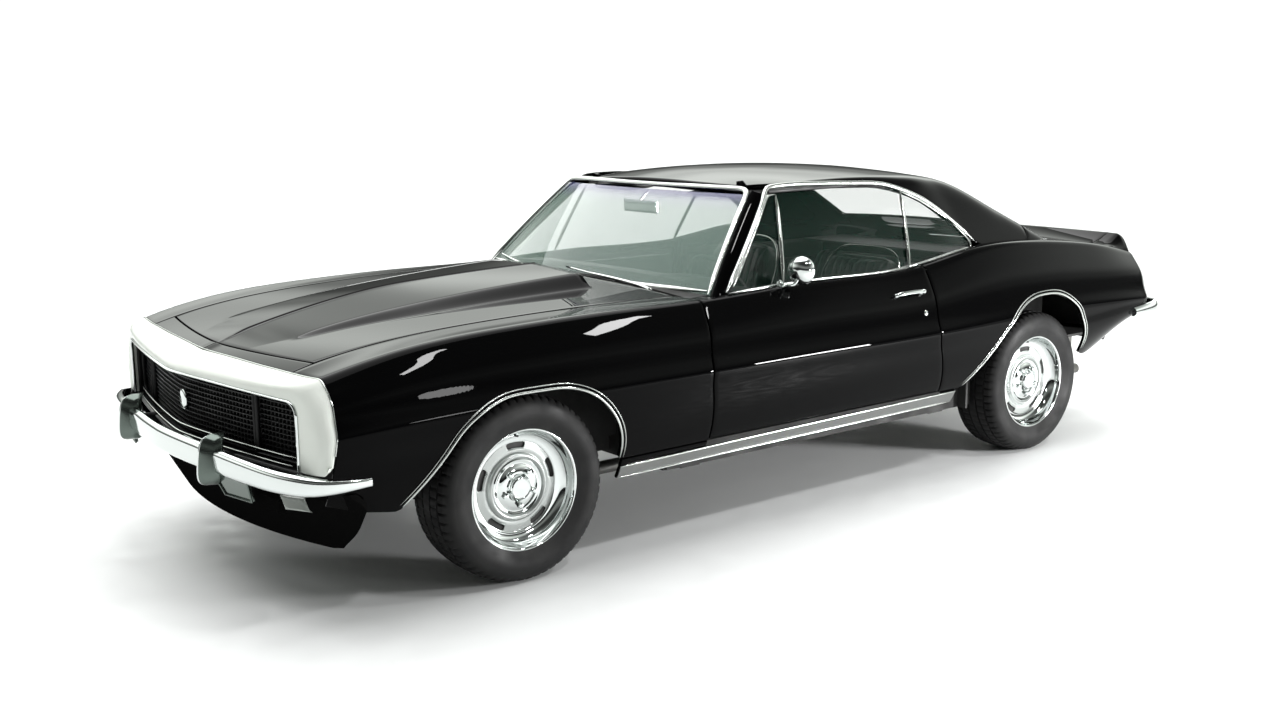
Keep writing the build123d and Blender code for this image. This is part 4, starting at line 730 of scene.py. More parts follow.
MIRROR_GLASS = finish("mirror_glass", (.9, .9, .9), .015, 1.0)
SCREEN_GLASS = glass_finish("screen_glass", (.045, .170, .115), .34, (1.165, 1.215, (.03, .03, .20), .62))
WINDOW_GLASS = glass_finish("window_glass", (.004, .030, .018), .11)

# ---------------------------------------------------------------- putting pieces in


USUAL_SLOT = {material.name: slot for slot, materials in (
    ("body_black", (BLACK, FLAT_BLACK, IRON)),
    ("cabin_black", (HEADLINER, SEAL, CARPET, VINYL, DIAL, MARK, CABIN)),
    ("glass", (SCREEN_GLASS, WINDOW_GLASS, MIRROR_GLASS)),
    ("chrome", (TRIM, CHROME, PLATE_PAINTED_DARK, SILL_SILVER)),
    ("nose_white", (WHITE,)),
    ("grille_black", (GRILLE_BLACK, SATIN_BLACK)),
    ("lamp_clear", (GREY_LENS,)),
    ("lamp_red", (RED_LENS,)),
    ("bare_steel", (STEEL,)),
    ("tyre", (RUBBER,)),
    ("wheel_silver", (SILVER,))) for material in materials}


def both_sides(name, part, material, node=None, body="chassis", slot=None, **how):
    """A left-hand piece and its mirror image, each on its own side's body, in its finish."""
    made = []
    for side, sign in SIDES:
        arrays = part if sign < 0 else flipped(part)
        piece = make_piece(f"{name}_{side}", *arrays, body.format(side), material, slot or USUAL_SLOT[material.name],
                           **how)
        if node:
            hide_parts(*[n.format(side) for n in ([node] if isinstance(node, str) else node)])
        made.append(piece)
    return made


def solid(name, part, material, *nodes, body="chassis", slot=None, **how):
    """One piece in its finish, standing for the nodes given."""
    piece = make_piece(name, *part, body, material, slot or USUAL_SLOT[material.name], **how)
    if nodes:
        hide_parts(*nodes)
    return piece


def whole(half):
    """A full-width grid (rows, columns) from its left half, whose last column is on the centre line."""
    return np.concatenate([half, mirrored(half[:, -2::-1])], 1)


def sheet(points, thick, up=(0, 0, 1), roll=.0015):
    """A closed sheet behind a grid, on the side away from the direction given."""
    normals = grid_normals(points)
    if np.sum(normals.reshape(-1, 3) @ np.asarray(up, float)) < 0:
        normals = -normals
    return shell_arrays(points, thick, normals, roll)


def on_line(points, smooth=0):
    """A path's points as an array, softened by repeated averaging with its neighbours."""
    path = np.array(points, float)
    for _ in range(smooth):
        path[1:-1] = path[1:-1] * .5 + (path[:-2] + path[2:]) * .25
    return path


def moulding(path, width, height, up, closed=False, ends=.25):
    """A bright half-round strip along a path, narrowed at its two ends."""
    path = np.asarray(path, float)
    scale = None
    if not closed:
        run = np.linspace(0, 1, len(path))
        scale = ends + (1 - ends) * np.clip(np.minimum(run, 1 - run) * len(path) / 4, 0, 1)
    return sweep(path, half_round(width, height), up, closed, scale)


# ---------------------------------------------------------------- body panels

SEAM_SIDE = np.array([(.380, -2.116), (.470, -2.114), (.520, -2.108), (.560, -2.1005), (.605, -2.0945),
                      (.650, -2.0905), (.700, -2.088), (.760, -2.087)])
SEAM_TOP = np.array([(0, -2.152), (.414, -2.126), (.640, -2.104), (.798, -2.087)])
# the white band's rear edge: height and x up the side, half width and x over the top


def seam_pairs(low_z, in_y, count, shift=0.0):
    """The band's rear edge as (x, t) pairs, from a height on the side over the shoulder to a half width."""
    z = np.linspace(low_z, .755, 40)
    x = np.interp(z, SEAM_SIDE[:, 0], SEAM_SIDE[:, 1]) + shift
    side = spots(x, t_at_height(x, z))
    y = np.linspace(.775, in_y, 40)
    x = np.interp(y, SEAM_TOP[:, 0], SEAM_TOP[:, 1]) + shift
    top = spots(x, t_at_half(x, y))
    return resample(np.concatenate([side, top]), count)


def shut_line(edge, shift, high_z, halves, count, low_z=ROCKER_TOP_Z):
    """The door's front or rear edge on the skin, moved along by a gap: up the side, then in over the shoulder."""
    z = np.linspace(low_z, high_z, 50)
    x = door_edge_x(edge, z) + shift
    top_x = np.full(8, door_edge_x(edge, np.array([SHUT_TOP_Z]))[0] + shift)
    side = spots(x, t_at_height(x, z))
    top = spots(top_x, t_at_half(top_x, np.linspace(*halves, 8)))
    return resample(np.concatenate([side, top]), count)


def add_fenders():
    """Left fender: a skin patch from the sill line with its wheel arch to the hood gap, from band seam to door."""
    m, n = 58, 86
    foot = [(-2.108, .392), (-1.99, .352)]
    arch = arch_between(FRONT_ARCH, .330, ROCKER_TOP_Z)
    door_x = door_edge_x("front", ROCKER_TOP_Z) - GAP
    low = side_line(np.concatenate([foot, arch, [(-.85, ROCKER_TOP_Z), (door_x, ROCKER_TOP_Z)]]), n)
    front = seam_pairs(.392, .618, m, GAP * .7)
    rear = shut_line("front", -GAP, .862, (.790, .741), m)
    xs = np.linspace(front[-1, 0], -.70, 60)
    high = np.concatenate([spots(xs, t_at_half(xs, hood_half(xs) + GAP)),
                           [[-.640, t_at_half(-.640, .680)], rear[-1]]])
    high = resample(high, n)
    both_sides("fender", body_panel(low, high, front, rear), BLACK, "fender_{}")


def door_pairs(m, n):
    """(x, t) grid of the door's outer face."""
    low_z = DOOR_BOTTOM_Z + .001
    start, end = [shut_line(edge, shift, .866, (.792, .781), m, low_z)
                  for edge, shift in (("front", GAP), ("rear", -GAP))]
    xs = np.linspace(start[0, 0], end[0, 0], n)
    low = spots(xs, t_at_height(xs, np.full(n, low_z)))
    xs = np.linspace(start[-1, 0], end[-1, 0], n)
    high = spots(xs, t_at_half(xs, np.full(n, .781)))
    return coons(low, high, start, end)


def add_doors():
    """Door: the skin patch between its slanted shut lines, closed by a flat inner face under the window line."""
    pairs = door_pairs(58, 58)
    outer = on_skin(pairs)
    inner = outer.copy()
    inner[..., 1] = -.747
    part = shell_arrays(outer, 0, skin_normal(pairs[..., 0], pairs[..., 1]), ROLL, inner)
    both_sides("door", part, BLACK, "door_{}", body="door_{}")


def add_quarters():
    """Left quarter: a skin patch round the rear wheel arch, from the door to the turned tail corner."""
    m, n = 58, 92
    arch = arch_between(REAR_ARCH, ROCKER_TOP_Z, .420)
    door_x = door_edge_x("rear", ROCKER_TOP_Z) + GAP
    foot_x = np.linspace(1.70, TAIL_EDGE_X, 14)
    foot = spots(foot_x, np.maximum(section(np.minimum(foot_x, 2.3), 0)[..., 1] + .004, .402))
    low = side_line(np.concatenate([[(door_x, ROCKER_TOP_Z)], arch, foot]), n)
    front = shut_line("rear", GAP, .866, (.792, .776), m)
    xs = np.concatenate([np.linspace(front[-1, 0], 1.60, 50), np.linspace(1.695, TAIL_EDGE_X, 40)])
    ys = np.interp(xs, [.60, 1.00, 1.30, 1.60, 1.695, 2.30], [.776, .752, .722, .660, .620, .620])
    high = resample(spots(xs, t_at_half(xs, ys)), n)
    rear = spots(np.full(m, TAIL_EDGE_X), np.linspace(low[-1, 1], high[-1, 1], m))
    both_sides("quarter", body_panel(low, high, front, rear), BLACK, "quarter_{}")


def top_height(x, y):
    """Height of the body's top at a plan point."""
    return section(x, t_at_half(x, np.abs(y)))[..., 1]


DUCT_TIP_X, DUCT_REAR_X = -1.95, -.79


def duct_half(x):
    """Half width of the duct's roof, to the top of its side wall."""
    return np.interp(x, [HOOD_FRONT_X, DUCT_TIP_X, -1.60, DUCT_REAR_X], [.200, .275, .292, .308])


def duct_foot(x):
    """Half width of the duct at the foot of its side wall."""
    return duct_half(x) + np.interp(x, [DUCT_TIP_X, -1.50, DUCT_REAR_X], [.030, .080, .070])


def duct_top(x, y):
    """Height of the duct's roof over the hood: two planes that fall from a centre crease to the tops of the walls."""
    rise = np.clip((x - DUCT_TIP_X) / (DUCT_REAR_X - DUCT_TIP_X), 0, 1)
    wall = .047 * rise**.7
    crease = .055 * smooth_step(x, HOOD_FRONT_X - .15, -1.38)
    lead_in = np.clip((x - HOOD_FRONT_X) / .10, 0, 1)
    share = np.clip(np.abs(y) / duct_half(x), 0, 1)
    spine = .0035 * np.clip(1 - np.abs(y) / .0048, 0, 1)
    return (lerp(np.maximum(crease, wall), wall, share) + spine) * lead_in


def hood_front_x(y):
    """The hood's front edge: it sweeps back with the distance from the centre to a power of 1.6."""
    return HOOD_FRONT_X + GAP + HOOD_CORNER_RUN * (np.abs(y) / HOOD_FRONT_HALF) ** 1.6


def add_hood():
    """Hood: the body's top between its gaps, raised by duct_top; the duct's walls stand between fixed columns."""
    end = (DUCT_REAR_X - HOOD_FRONT_X) / (COWL_X - HOOD_FRONT_X)
    rows = np.concatenate([np.linspace(0, .118, 10)[:-1], np.linspace(.118, end - .003, 42)[:-1],
                           np.linspace(end - .003, end + .0045, 4)[:-1], np.linspace(end + .0045, 1, 11)])
    outer_cols = np.linspace(0, 1, 15)[:-1]
    wall_cols = np.linspace(0, 1, 7)[:-1]
    roof_cols = np.append(np.linspace(0, .97, 13), [.985, 1])
    v = rows[:, None]
    grid = []
    for kind, cols in (("flat", outer_cols), ("wall", wall_cols), ("roof", roof_cols)):
        c = cols[None]
        x_line = lerp(HOOD_FRONT_X, COWL_X - .001, v)
        edges = [hood_half(x_line) - GAP, duct_foot(x_line), duct_half(x_line), 0 * x_line]
        first = ("flat", "wall", "roof").index(kind)
        y = lerp(edges[first], edges[first + 1], c)
        lead = np.clip(1 - v / .118, 0, 1)
        x = x_line + (hood_front_x(y) - HOOD_FRONT_X) * lead**1.2
        z = top_height(x, np.minimum(y, .70))
        inside = np.clip((DUCT_REAR_X + .004 - x) / .006, 0, 1)
        climb = {"flat": 0 * y, "wall": c + 0 * y, "roof": 1 + 0 * y}[kind]
        climb = climb * climb * (3 - 2 * climb) * .35 + climb * .65
        z = z + duct_top(x, y) * climb * inside
        grid.append(spots(x, -y, z))
    points = whole(np.concatenate(grid, 1))
    under = points.copy()
    foot_z = top_height(points[..., 0], np.minimum(np.abs(points[..., 1]), .70))
    under[..., 2] = np.minimum(points[..., 2], foot_z) - LID_T
    under[..., 2] += np.clip((points[..., 0] + .66) / .02, 0, 1) * .016
    normals = grid_normals(points)
    normals = normals * np.sign(normals[..., 2:])
    part = shell_arrays(points, 0, normals, ROLL, under)
    solid("hood", part, BLACK, "hood", body="hood", smooth=50)


def add_duct_mesh():
    """Dark panel, painted shade of the inside of the duct's open rear end, and crossed wires over that end, following
    the duct's section at DUCT_REAR_X.
    """
    x = DUCT_REAR_X + .0115
    y = np.linspace(-1, 1, 61) * (duct_half(DUCT_REAR_X) + .020)
    low = top_height(np.full(61, x), y) + .001
    edge = np.clip((1 - np.abs(np.linspace(-1, 1, 61))) / .08, 0, 1)
    high = low + (duct_top(DUCT_REAR_X, y) - .006) * edge
    f = np.linspace(0, 1, 5)[:, None]
    face = spots(x - .004 + 0 * f * y, y + 0 * f, lerp(low, high, f))
    # The flat black panel covers the duct's rear end: painted shade standing for the dark inside of the open duct.
    solid("duct_end", sheet(face, .002, (1, 0, 0), .0005), FLAT_BLACK, body="hood")
    wires = []
    for k in range(1, 60):
        wires.append(sweep(np.linspace((x, y[k], low[k]), (x, y[k], high[k]), 3), oval(.0022, .0022, 6), (1, 0, 0)))
    for share in (.12, .34, .56, .78, .97):
        line = spots(x + 0 * y, y, lerp(low, high, share))[1:-1]
        wires.append(sweep(line, oval(.0022, .0022, 6), (1, 0, 0)))
    solid("duct_mesh", join(wires), IRON, body="hood")


def lid_profile(x, y):
    """Height of the trunk lid: the body's top, then a concave rise to the lip, whose edge is rounded."""
    base = top_height(np.minimum(x, 2.06), np.abs(y))
    rise = np.clip((x - 2.045) / (2.208 - 2.045), 0, 1)
    lip = .929 - .006 * (np.abs(y) / .72) ** 2
    lifted = base + (lip - base) * rise ** 1.45
    return np.where(x > 2.208, lip - .006 * ((x - 2.208) / .02) ** 2, lifted)


def add_lid():
    """Trunk lid: a grid over the top, then down the tail face behind the lip, and back under it."""
    xs = np.concatenate([np.linspace(LID_FRONT_X + GAP, 2.04, 26)[:-1], np.linspace(2.04, 2.228, 22)])
    y = LID_HALF * (1 - np.linspace(0, 1, 28))
    x, yy = lattice(xs, y)
    top = spots(x, -yy, lid_profile(x, yy))
    tail = []
    for dx, z in ((2.2345, .921), (2.238, .912), (2.2385, .900), (2.2365, .882), (2.2355, .862), (2.2355, .838)):
        tail.append(spots(np.full_like(y, dx) - .004 * (y / .6) ** 2, -y, np.full_like(y, z) - .006 * (y / .72) ** 2))
    half = np.concatenate([top, np.array(tail)])
    points = whole(half)
    normals = grid_normals(points)
    normals = normals * np.sign(np.sum(normals * (.3, 0, 1), -1, keepdims=True))
    under = points - normals * .018
    near_front = np.clip((LID_FRONT_X + .03 - points[..., 0]) / .02, 0, 1)
    under[..., 2] = np.where(points[..., 0] < 2.04, points[..., 2] - lerp(.020, .008, near_front), under[..., 2])
    part = shell_arrays(points, 0, normals, ROLL, under)
    solid("trunk_lid", part, BLACK, "trunk_lid", body="trunk_lid", smooth=50)
    ys = np.linspace(.623, .727, 14)
    x, yy = lattice(np.concatenate([np.linspace(2.05, 2.228, 26), [2.2345, 2.238, 2.2385]]), ys)
    z = lid_profile(np.minimum(x, 2.228), yy)
    z[-3:] = np.array([.921, .912, .900])[:, None] - .006
    drop = np.clip((yy - .665) / (.727 - .665), 0, 1) ** 2
    base = top_height(np.minimum(x, 2.24), yy) - .006
    z = lerp(z, np.minimum(z, base + .012), drop)
    lip = spots(x - .010 * (yy / .72) ** 4, -yy, z)
    under = lip.copy()
    under[..., 2] = base - .02
    part = shell_arrays(lip, 0, grid_normals(lip) * np.sign(grid_normals(lip)[..., 2:]), .0015, under)
    both_sides("lip_end", part, BLACK, smooth=60)


add_fenders()
add_doors()
add_quarters()
add_hood()
add_duct_mesh()
add_lid()


# ---------------------------------------------------------------- roof, pillars and glass


def window_half(x):
    """Half width of the rear window's opening."""
    return np.interp(x, [1.095, 1.560], [.487, .563])


def add_roof():
    """Roof and sail panels: one surface from the gutter to the centre line, open where the rear window is."""
    front_rows = 44
    xs = np.concatenate([np.linspace(0, 1, front_rows)[:-1], 1 + np.linspace(0, 1, 26)])
    cols = 26
    rows = []
    for v in xs:
        front = v <= 1
        low_x = lerp(-.150, 1.095, v) if front else lerp(1.095, 1.63, v - 1)
        low_z = float(drip_curve(low_x)) if low_x < 1.02 else .930
        if low_x > 1.02:
            low_z = max(.930, .985 - (low_x - 1.02) * .9)
        t_low = float(roof_t(low_x, low_z, 2))
        t_win = float(roof_t(low_x, window_half(low_x), 1))
        t = np.concatenate([np.linspace(t_low, t_win, cols)[:-1], np.linspace(t_win, 1, cols)])
        share = (t - t_low) / (1 - t_low)
        x = low_x + (-.075 * max(0, 1 - v * 4) * (1 - (1 - share) ** 2) if front else 0)
        rows.append(roof_skin(x + 0 * t, t) - (0, 0, .0009))
    points = whole(np.array(rows))
    m, n = points.shape[:2]
    faces = np.array(grid_faces(m, n)).reshape(m - 1, n - 1, 4)
    keep = np.ones((m - 1, n - 1), bool)
    keep[front_rows - 1:, cols - 1:n - cols] = False
    piece = solid("roof", (points, faces[keep].tolist()), BLACK, "roof", outward=False, smooth=50)
    work = bmesh.new()
    work.from_mesh(piece.data)
    bmesh.ops.recalc_face_normals(work, faces=work.faces)
    loose = [v for v in work.verts if not v.link_faces]
    bmesh.ops.delete(work, geom=loose, context="VERTS")
    work.to_mesh(piece.data)
    work.free()
    up = np.mean([f.normal.z for f in piece.data.polygons])
    if up < 0:
        piece.data.flip_normals()
    thick = piece.modifiers.new("thickness", "SOLIDIFY")
    thick.thickness, thick.offset = ROOF_T, -1
    liner = points[:front_rows:2, 2:n - 2:2].copy()
    liner[..., 2] -= .030
    liner[..., 1] *= .975
    solid("headliner", sheet(liner, .006, (0, 0, -1)), HEADLINER)
    return points


def pillar_line(f):
    """The rear edge of the left windshield pillar, foot to head."""
    return side_point(lerp(-.472, -.128, f), lerp(.878, 1.226, f))


def add_pillars():
    """Windshield pillars: a patch from the screen's edge round to the vent window, 22 mm thick."""
    f = np.linspace(0, 1, 30)
    front = screen_point(np.full(30, -1.0), lerp(.02, .815, f))
    rear = pillar_line(f) + np.array([0, -.004, 0])
    mid = (front + rear) / 2 + unit(np.cross(rear[-1] - rear[0], front[0] - rear[0])) * -.010
    share = np.linspace(0, 1, 9)[:, None, None]
    patch = (1 - share) ** 2 * front[None] + 2 * share * (1 - share) * mid[None] + share**2 * rear[None]
    both_sides("pillar", sheet(patch, .022, (-.6, -1, .3)), BLACK)


def glass_sheet(grid, way):
    """A pane behind a grid, its edges barely rolled."""
    return sheet(grid, GLASS_T, way, .001)


def add_windshield(roof):
    """Windshield, its bright mouldings, and the black header, which rises to the roof's edge as a quarter sine."""
    a, h = np.linspace(-.985, .985, 40), np.linspace(.035, .775, 24)
    grid = screen_point(a[None] + 0 * h[:, None], h[:, None] + 0 * a[None])
    solid("windshield", glass_sheet(grid, (-1, 0, 1)), SCREEN_GLASS, "windshield")
    loop = np.concatenate([
        screen_point(np.full(30, -.985), np.linspace(.03, .80, 30)),
        screen_point(np.linspace(-.965, .965, 50), np.full(50, .812)),
        screen_point(np.full(30, .985), np.linspace(.80, .03, 30))])
    loop = on_line(loop, 4)
    out = np.array([-.006, 0, .006])
    solid("screen_moulding", moulding(loop + out, .021, .006, np.array([-.62, 0, .78])), TRIM)
    a = np.linspace(-.985, .985, 50)
    top = screen_point(a, np.full(50, .80))
    roof_edge = resample(roof[0], 50) + (.004, 0, -.004)
    header = []
    for f in np.linspace(0, 1, 6):
        row = lerp(top, roof_edge, f)
        row[:, 2] = lerp(top[:, 2], roof_edge[:, 2], np.sin(f * np.pi / 2))
        header.append(row)
    solid("header", sheet(np.array(header), .016, (-1, 0, 1)), BLACK)
    base = screen_point(np.linspace(-.97, .97, 40), np.full(40, .055))
    solid("screen_foot_trim", moulding(on_line(base, 2) + (-.002, 0, .004), .020, .005, np.array([-.62, 0, .78])),
          TRIM)


VENT_TOP, VENT_FOOT = (-.076, 1.218), (-.172, .885)
BAR_TOP, BAR_FOOT = (.630, 1.209), (.540, .880)


def side_lines(low, high, count):
    """A ruled grid of the side window between two lines in side view."""
    low, high = resample(np.array(low, float), count), resample(np.array(high, float), count)
    share = np.linspace(0, 1, 24)[:, None, None]
    grid = low[None] * (1 - share) + high[None] * share
    return side_point(grid[..., 0], grid[..., 1])


def side_path(points, count, out=.0, smooth=0):
    """A line in side view laid on the side windows' plane, softened and moved outward."""
    line = on_line(resample(np.array(points, float), count), smooth)
    path = side_point(line[:, 0], line[:, 1])
    path[:, 1] -= out
    return path


def add_side_glass():
    """Door glass with its vent window, and the quarter glass, all on the side plane, with their bright frames."""
    door = side_lines([(-.440, .872), (BAR_FOOT[0] - .004, .872)],
                      [(-.436, .886), (-.128, 1.212), (-.112, 1.222), (.430, 1.228), (BAR_TOP[0] - .004, 1.209)], 40)
    both_sides("door_glass", glass_sheet(door, (0, -1, .3)), WINDOW_GLASS, "door_glass_{}", body="door_{}")
    quarter = side_lines([(BAR_FOOT[0] + .006, .872), (.944, .872)],
                         [(BAR_TOP[0] + .006, 1.206), (.735, 1.165), (.905, 1.068), (1.006, .975), (.960, .900)], 30)
    both_sides("quarter_glass", glass_sheet(quarter, (0, -1, .3)), WINDOW_GLASS, "quarter_glass_{}")
    up = np.array([0, -1, .25])
    vent = side_path([VENT_FOOT, VENT_TOP], 24, .004)
    rise = side_path([(-.425, .900), (-.128, 1.213), (-.110, 1.2195), (-.080, 1.2195)], 40, .004, 2)
    both_sides("vent_frame", join([moulding(vent, .016, .008, up), moulding(rise, .012, .007, up)]), TRIM,
               body="door_{}")
    bar = side_path([BAR_FOOT, BAR_TOP], 24, .004)
    both_sides("quarter_bar", moulding(bar + (.010, 0, 0), .018, .008, up), TRIM)
    rear = side_path([(.640, 1.199), (.735, 1.160), (.905, 1.063), (.985, .990), (1.004, .962), (.985, .925),
                      (.950, .890)], 60, .004, 3)
    both_sides("quarter_frame", moulding(rear, .010, .005, up), TRIM)
    xs = np.linspace(-.150, 1.035, 90)
    drip = side_point(xs, drip_curve(xs) - .004)
    drip[:, 1] -= .006
    drip = np.concatenate([pillar_line(np.linspace(.02, .97, 30)) + (-.004, -.010, 0), drip[2:]])
    both_sides("drip_rail", moulding(on_line(drip, 3), .019, .010, np.array([0, -1, .35])), TRIM)
    inner = side_path([(-.100, 1.232), (.430, 1.238), (.630, 1.217), (.735, 1.173), (.905, 1.076), (1.022, .972)], 90,
                      -.006, 3)
    both_sides("window_seal", sweep(inner, oval(.018, .014, 10), (0, -1, .3)), SEAL)
    for name, low, high, body in (("door", -.455, .528, "door_{}"), ("quarter", .548, .935, "chassis")):
        xs = np.linspace(low, high, 40)
        belt = side_point(xs, .884)
        belt[:, 1] -= .006
        belt[:, 2] = top_height(xs, np.full(40, .783)) + .0015
        both_sides(f"belt_trim_{name}", moulding(belt, .010, .005, (0, -.2, 1)), TRIM, body=body)


def add_rear_window():
    """Rear window: the crown's surface 5 mm down, inside its opening, and a bright moulding round its edge."""
    x, f = lattice(np.linspace(1.100, 1.556, 24), np.linspace(1, 0, 20))
    t = roof_t(x, f * (window_half(x) - .004), 1)
    half = roof_skin(x, t)
    half[..., 2] -= .005
    grid = whole(half)
    solid("rear_window", glass_sheet(grid, (1, 0, 1)), WINDOW_GLASS, "rear_window")
    edge = [spots(np.full(30, 1.098), np.linspace(0, .475, 30)),
            spots(np.linspace(1.108, 1.548, 40), window_half(np.linspace(1.108, 1.548, 40)) - .001),
            spots(np.full(30, 1.558), np.linspace(.550, 0, 30))]
    plan = resample(np.concatenate(edge), 110)
    path = roof_skin(plan[:, 0], roof_t(plan[:, 0], plan[:, 1], 1)) + (0, 0, .001)
    path = on_line(path, 2)
    loop = np.concatenate([path, mirrored(path[-2:0:-1])])
    solid("rear_window_trim", moulding(loop, .024, .005, (.35, 0, 1), closed=True), TRIM)


def add_rear_deck():
    """The panel between the rear window and the trunk lid, the sails' feet at its ends; shelf and bulkhead below."""
    x, f = lattice(np.linspace(1.548, 1.694, 26), np.linspace(1, 0, 34))
    y = f * np.interp(x, [1.548, 1.60, 1.694], [.600, .640, .618])
    flat = top_height(x, y)
    crown = crown_height(x, y) - .004
    z = np.logaddexp(flat * 160, crown * 160) / 160
    part = sheet(whole(spots(x, -y, z)), .010, (0, 0, 1))
    solid("rear_deck", part, BLACK, "rear_deck", smooth=50)
    x, f = lattice(np.linspace(1.300, 1.600, 12), np.linspace(1, 0, 12))
    shelf = spots(x, -f * .60, .868 + 0 * x)
    solid("parcel_shelf", sheet(whole(shelf), .010), CARPET)
    z, f = lattice(np.linspace(.46, .86, 12), np.linspace(1, 0, 12))
    wall = whole(spots(1.424 + 0 * z, -f * .58, z))
    solid("bulkhead", sheet(wall, .008, (-1, 0, 0)), FLAT_BLACK, slot="underbody")


roof_grid = add_roof()
add_pillars()
add_windshield(roof_grid)
add_side_glass()
add_rear_window()
add_rear_deck()

# ---------------------------------------------------------------- nose


def nose_x(y):
    """Plan of the grille opening: a shallow V with a rounded point."""
    y = np.abs(y)
    return -2.272 + .075 * (np.sqrt(y * y + .0025) - .05) / .74 + .043 * (y / .74) ** 2


OPENING_TOP, OPENING_LOW, OPENING_HALF, OPENING_R = .706, .492, .755, .045


def opening_half(count_side=26, count_corner=12, count_top=60):
    """Left half of the grille opening's edge, from its lower corner up, round and in to the centre."""
    a = np.linspace(0, np.pi / 2, count_corner + 1)[:-1]
    side = spots(np.full(count_side, OPENING_HALF), np.linspace(OPENING_LOW, OPENING_TOP - OPENING_R, count_side))
    corner = spots(OPENING_HALF - OPENING_R * (1 - np.cos(a)), OPENING_TOP - OPENING_R + OPENING_R * np.sin(a))
    y = np.linspace(OPENING_HALF - OPENING_R, 0, count_top)
    top = spots(y, OPENING_TOP + .007 * (1 - (y / .7) ** 2))
    line = np.concatenate([side[:-1], corner, top])
    return spots(nose_x(line[:, 0]), -line[:, 0], line[:, 1]), count_side - 1 + count_corner // 2


def add_band():
    """White band: from the opening's edge over a rounded brow and back to the seam on the body's skin."""
    inner, turn = opening_half()
    total = len(inner)
    z = np.linspace(.494, .742, 40)
    side = spots(np.interp(z, SEAM_SIDE[:, 0], SEAM_SIDE[:, 1]) - GAP * .7, 0 * z)
    side[:, 1] = t_at_height(side[:, 0], z)
    side = resample(side, turn + 1)
    y = np.linspace(.790, 0, 60)
    top = spots(np.interp(y, SEAM_TOP[:, 0], SEAM_TOP[:, 1]) - GAP * .7, 0 * y)
    top[:, 1] = t_at_half(top[:, 0], y)
    top[0] = lerp(side[-1], top[1], .6)
    want = np.concatenate([side[:-1], resample(np.concatenate([side[-1:], top]), total - turn)])
    outer = on_skin(want)
    outer = np.concatenate([on_line(outer[:turn], 6), outer[turn:]])
    corner = inner.copy()
    corner[:, 1] = lerp(inner[:, 1], outer[:, 1], .93)
    corner[:, 2] = lerp(inner[:, 2], outer[:, 2], .93)
    corner[:, 0] = inner[:, 0] + .020
    tangent = outer - skin(want[:, 0] + .03, want[:, 1])
    second = outer + tangent * 2.2
    second[:, 0] = np.maximum(second[:, 0], inner[:, 0] + .012)
    first = lerp(inner, corner, .62)
    first[:, 0] = inner[:, 0] + .002
    f = np.linspace(0, 1, 18)[:, None, None]
    grid = ((1 - f) ** 3 * inner[None] + 3 * f * (1 - f) ** 2 * first[None] + 3 * f * f * (1 - f) * second[None]
            + f**3 * outer[None])
    foot = OPENING_LOW + .032 * f[..., 0] ** 6
    grid[..., 2] = np.maximum(grid[..., 2], foot)
    points = whole(grid)
    part = sheet(points, .016, (-1, 0, .4), .003)
    solid("nose_band", part, WHITE, "nose_panel", smooth=50)
    edge = whole(inner[None])[0]
    loop = edge + np.array([-.001, 0, 0])
    centre = np.array([0, 0, .60])
    pull = unit((centre - loop) * (0, 1, 1)) * .004
    solid("opening_trim", sweep(loop + pull, oval(.009, .012, 10), (-1, 0, 0)), CHROME)
    line = on_line(whole(outer[None, 5:])[0], 4)
    line[:, 0] += .0012
    lift = unit(spots(0 * line[:, 0], line[:, 1] * .8, line[:, 2] - .45))
    solid("band_edge", sweep(line + lift * .0012, oval(.005, .004, 8), (0, 0, 1)), TRIM)


def add_header_strip():
    """Black strip between the white band and the hood's V-shaped front edge."""
    y = HOOD_FRONT_HALF * np.linspace(1, 0, 50)
    front = spots(np.interp(y, SEAM_TOP[:, 0], SEAM_TOP[:, 1]) + GAP * .7, y)
    rear = spots(hood_front_x(np.minimum(y, .609)) - 2 * GAP, y)
    rows = []
    for f in np.linspace(0, 1, 10):
        line = lerp(front, rear, f)
        rows.append(skin(line[:, 0], t_at_half(line[:, 0], line[:, 1])))
    half = np.array(rows)
    half[..., 2] += .003 * np.exp(-(half[..., 1] / .03) ** 2)
    solid("header_strip", sheet(whole(half), .012), BLACK)
    # A flat black line along the strip's centre, over its low ridge: painted shade and dark reflection of the centre
    # crease, not a seam.
    seam = np.linspace(half[0, -1], half[-1, -1], 8) + (0, 0, .0002)
    solid("header_painted_shade_line", sweep(seam, oval(.0045, .002, 8), (0, 0, 1)), FLAT_BLACK)


def plane_of_nose(y, z, depth):
    """Points at a depth behind the plan curve of the grille opening."""
    return spots(nose_x(y) + depth + 0 * z, y + 0 * z, z + 0 * y)


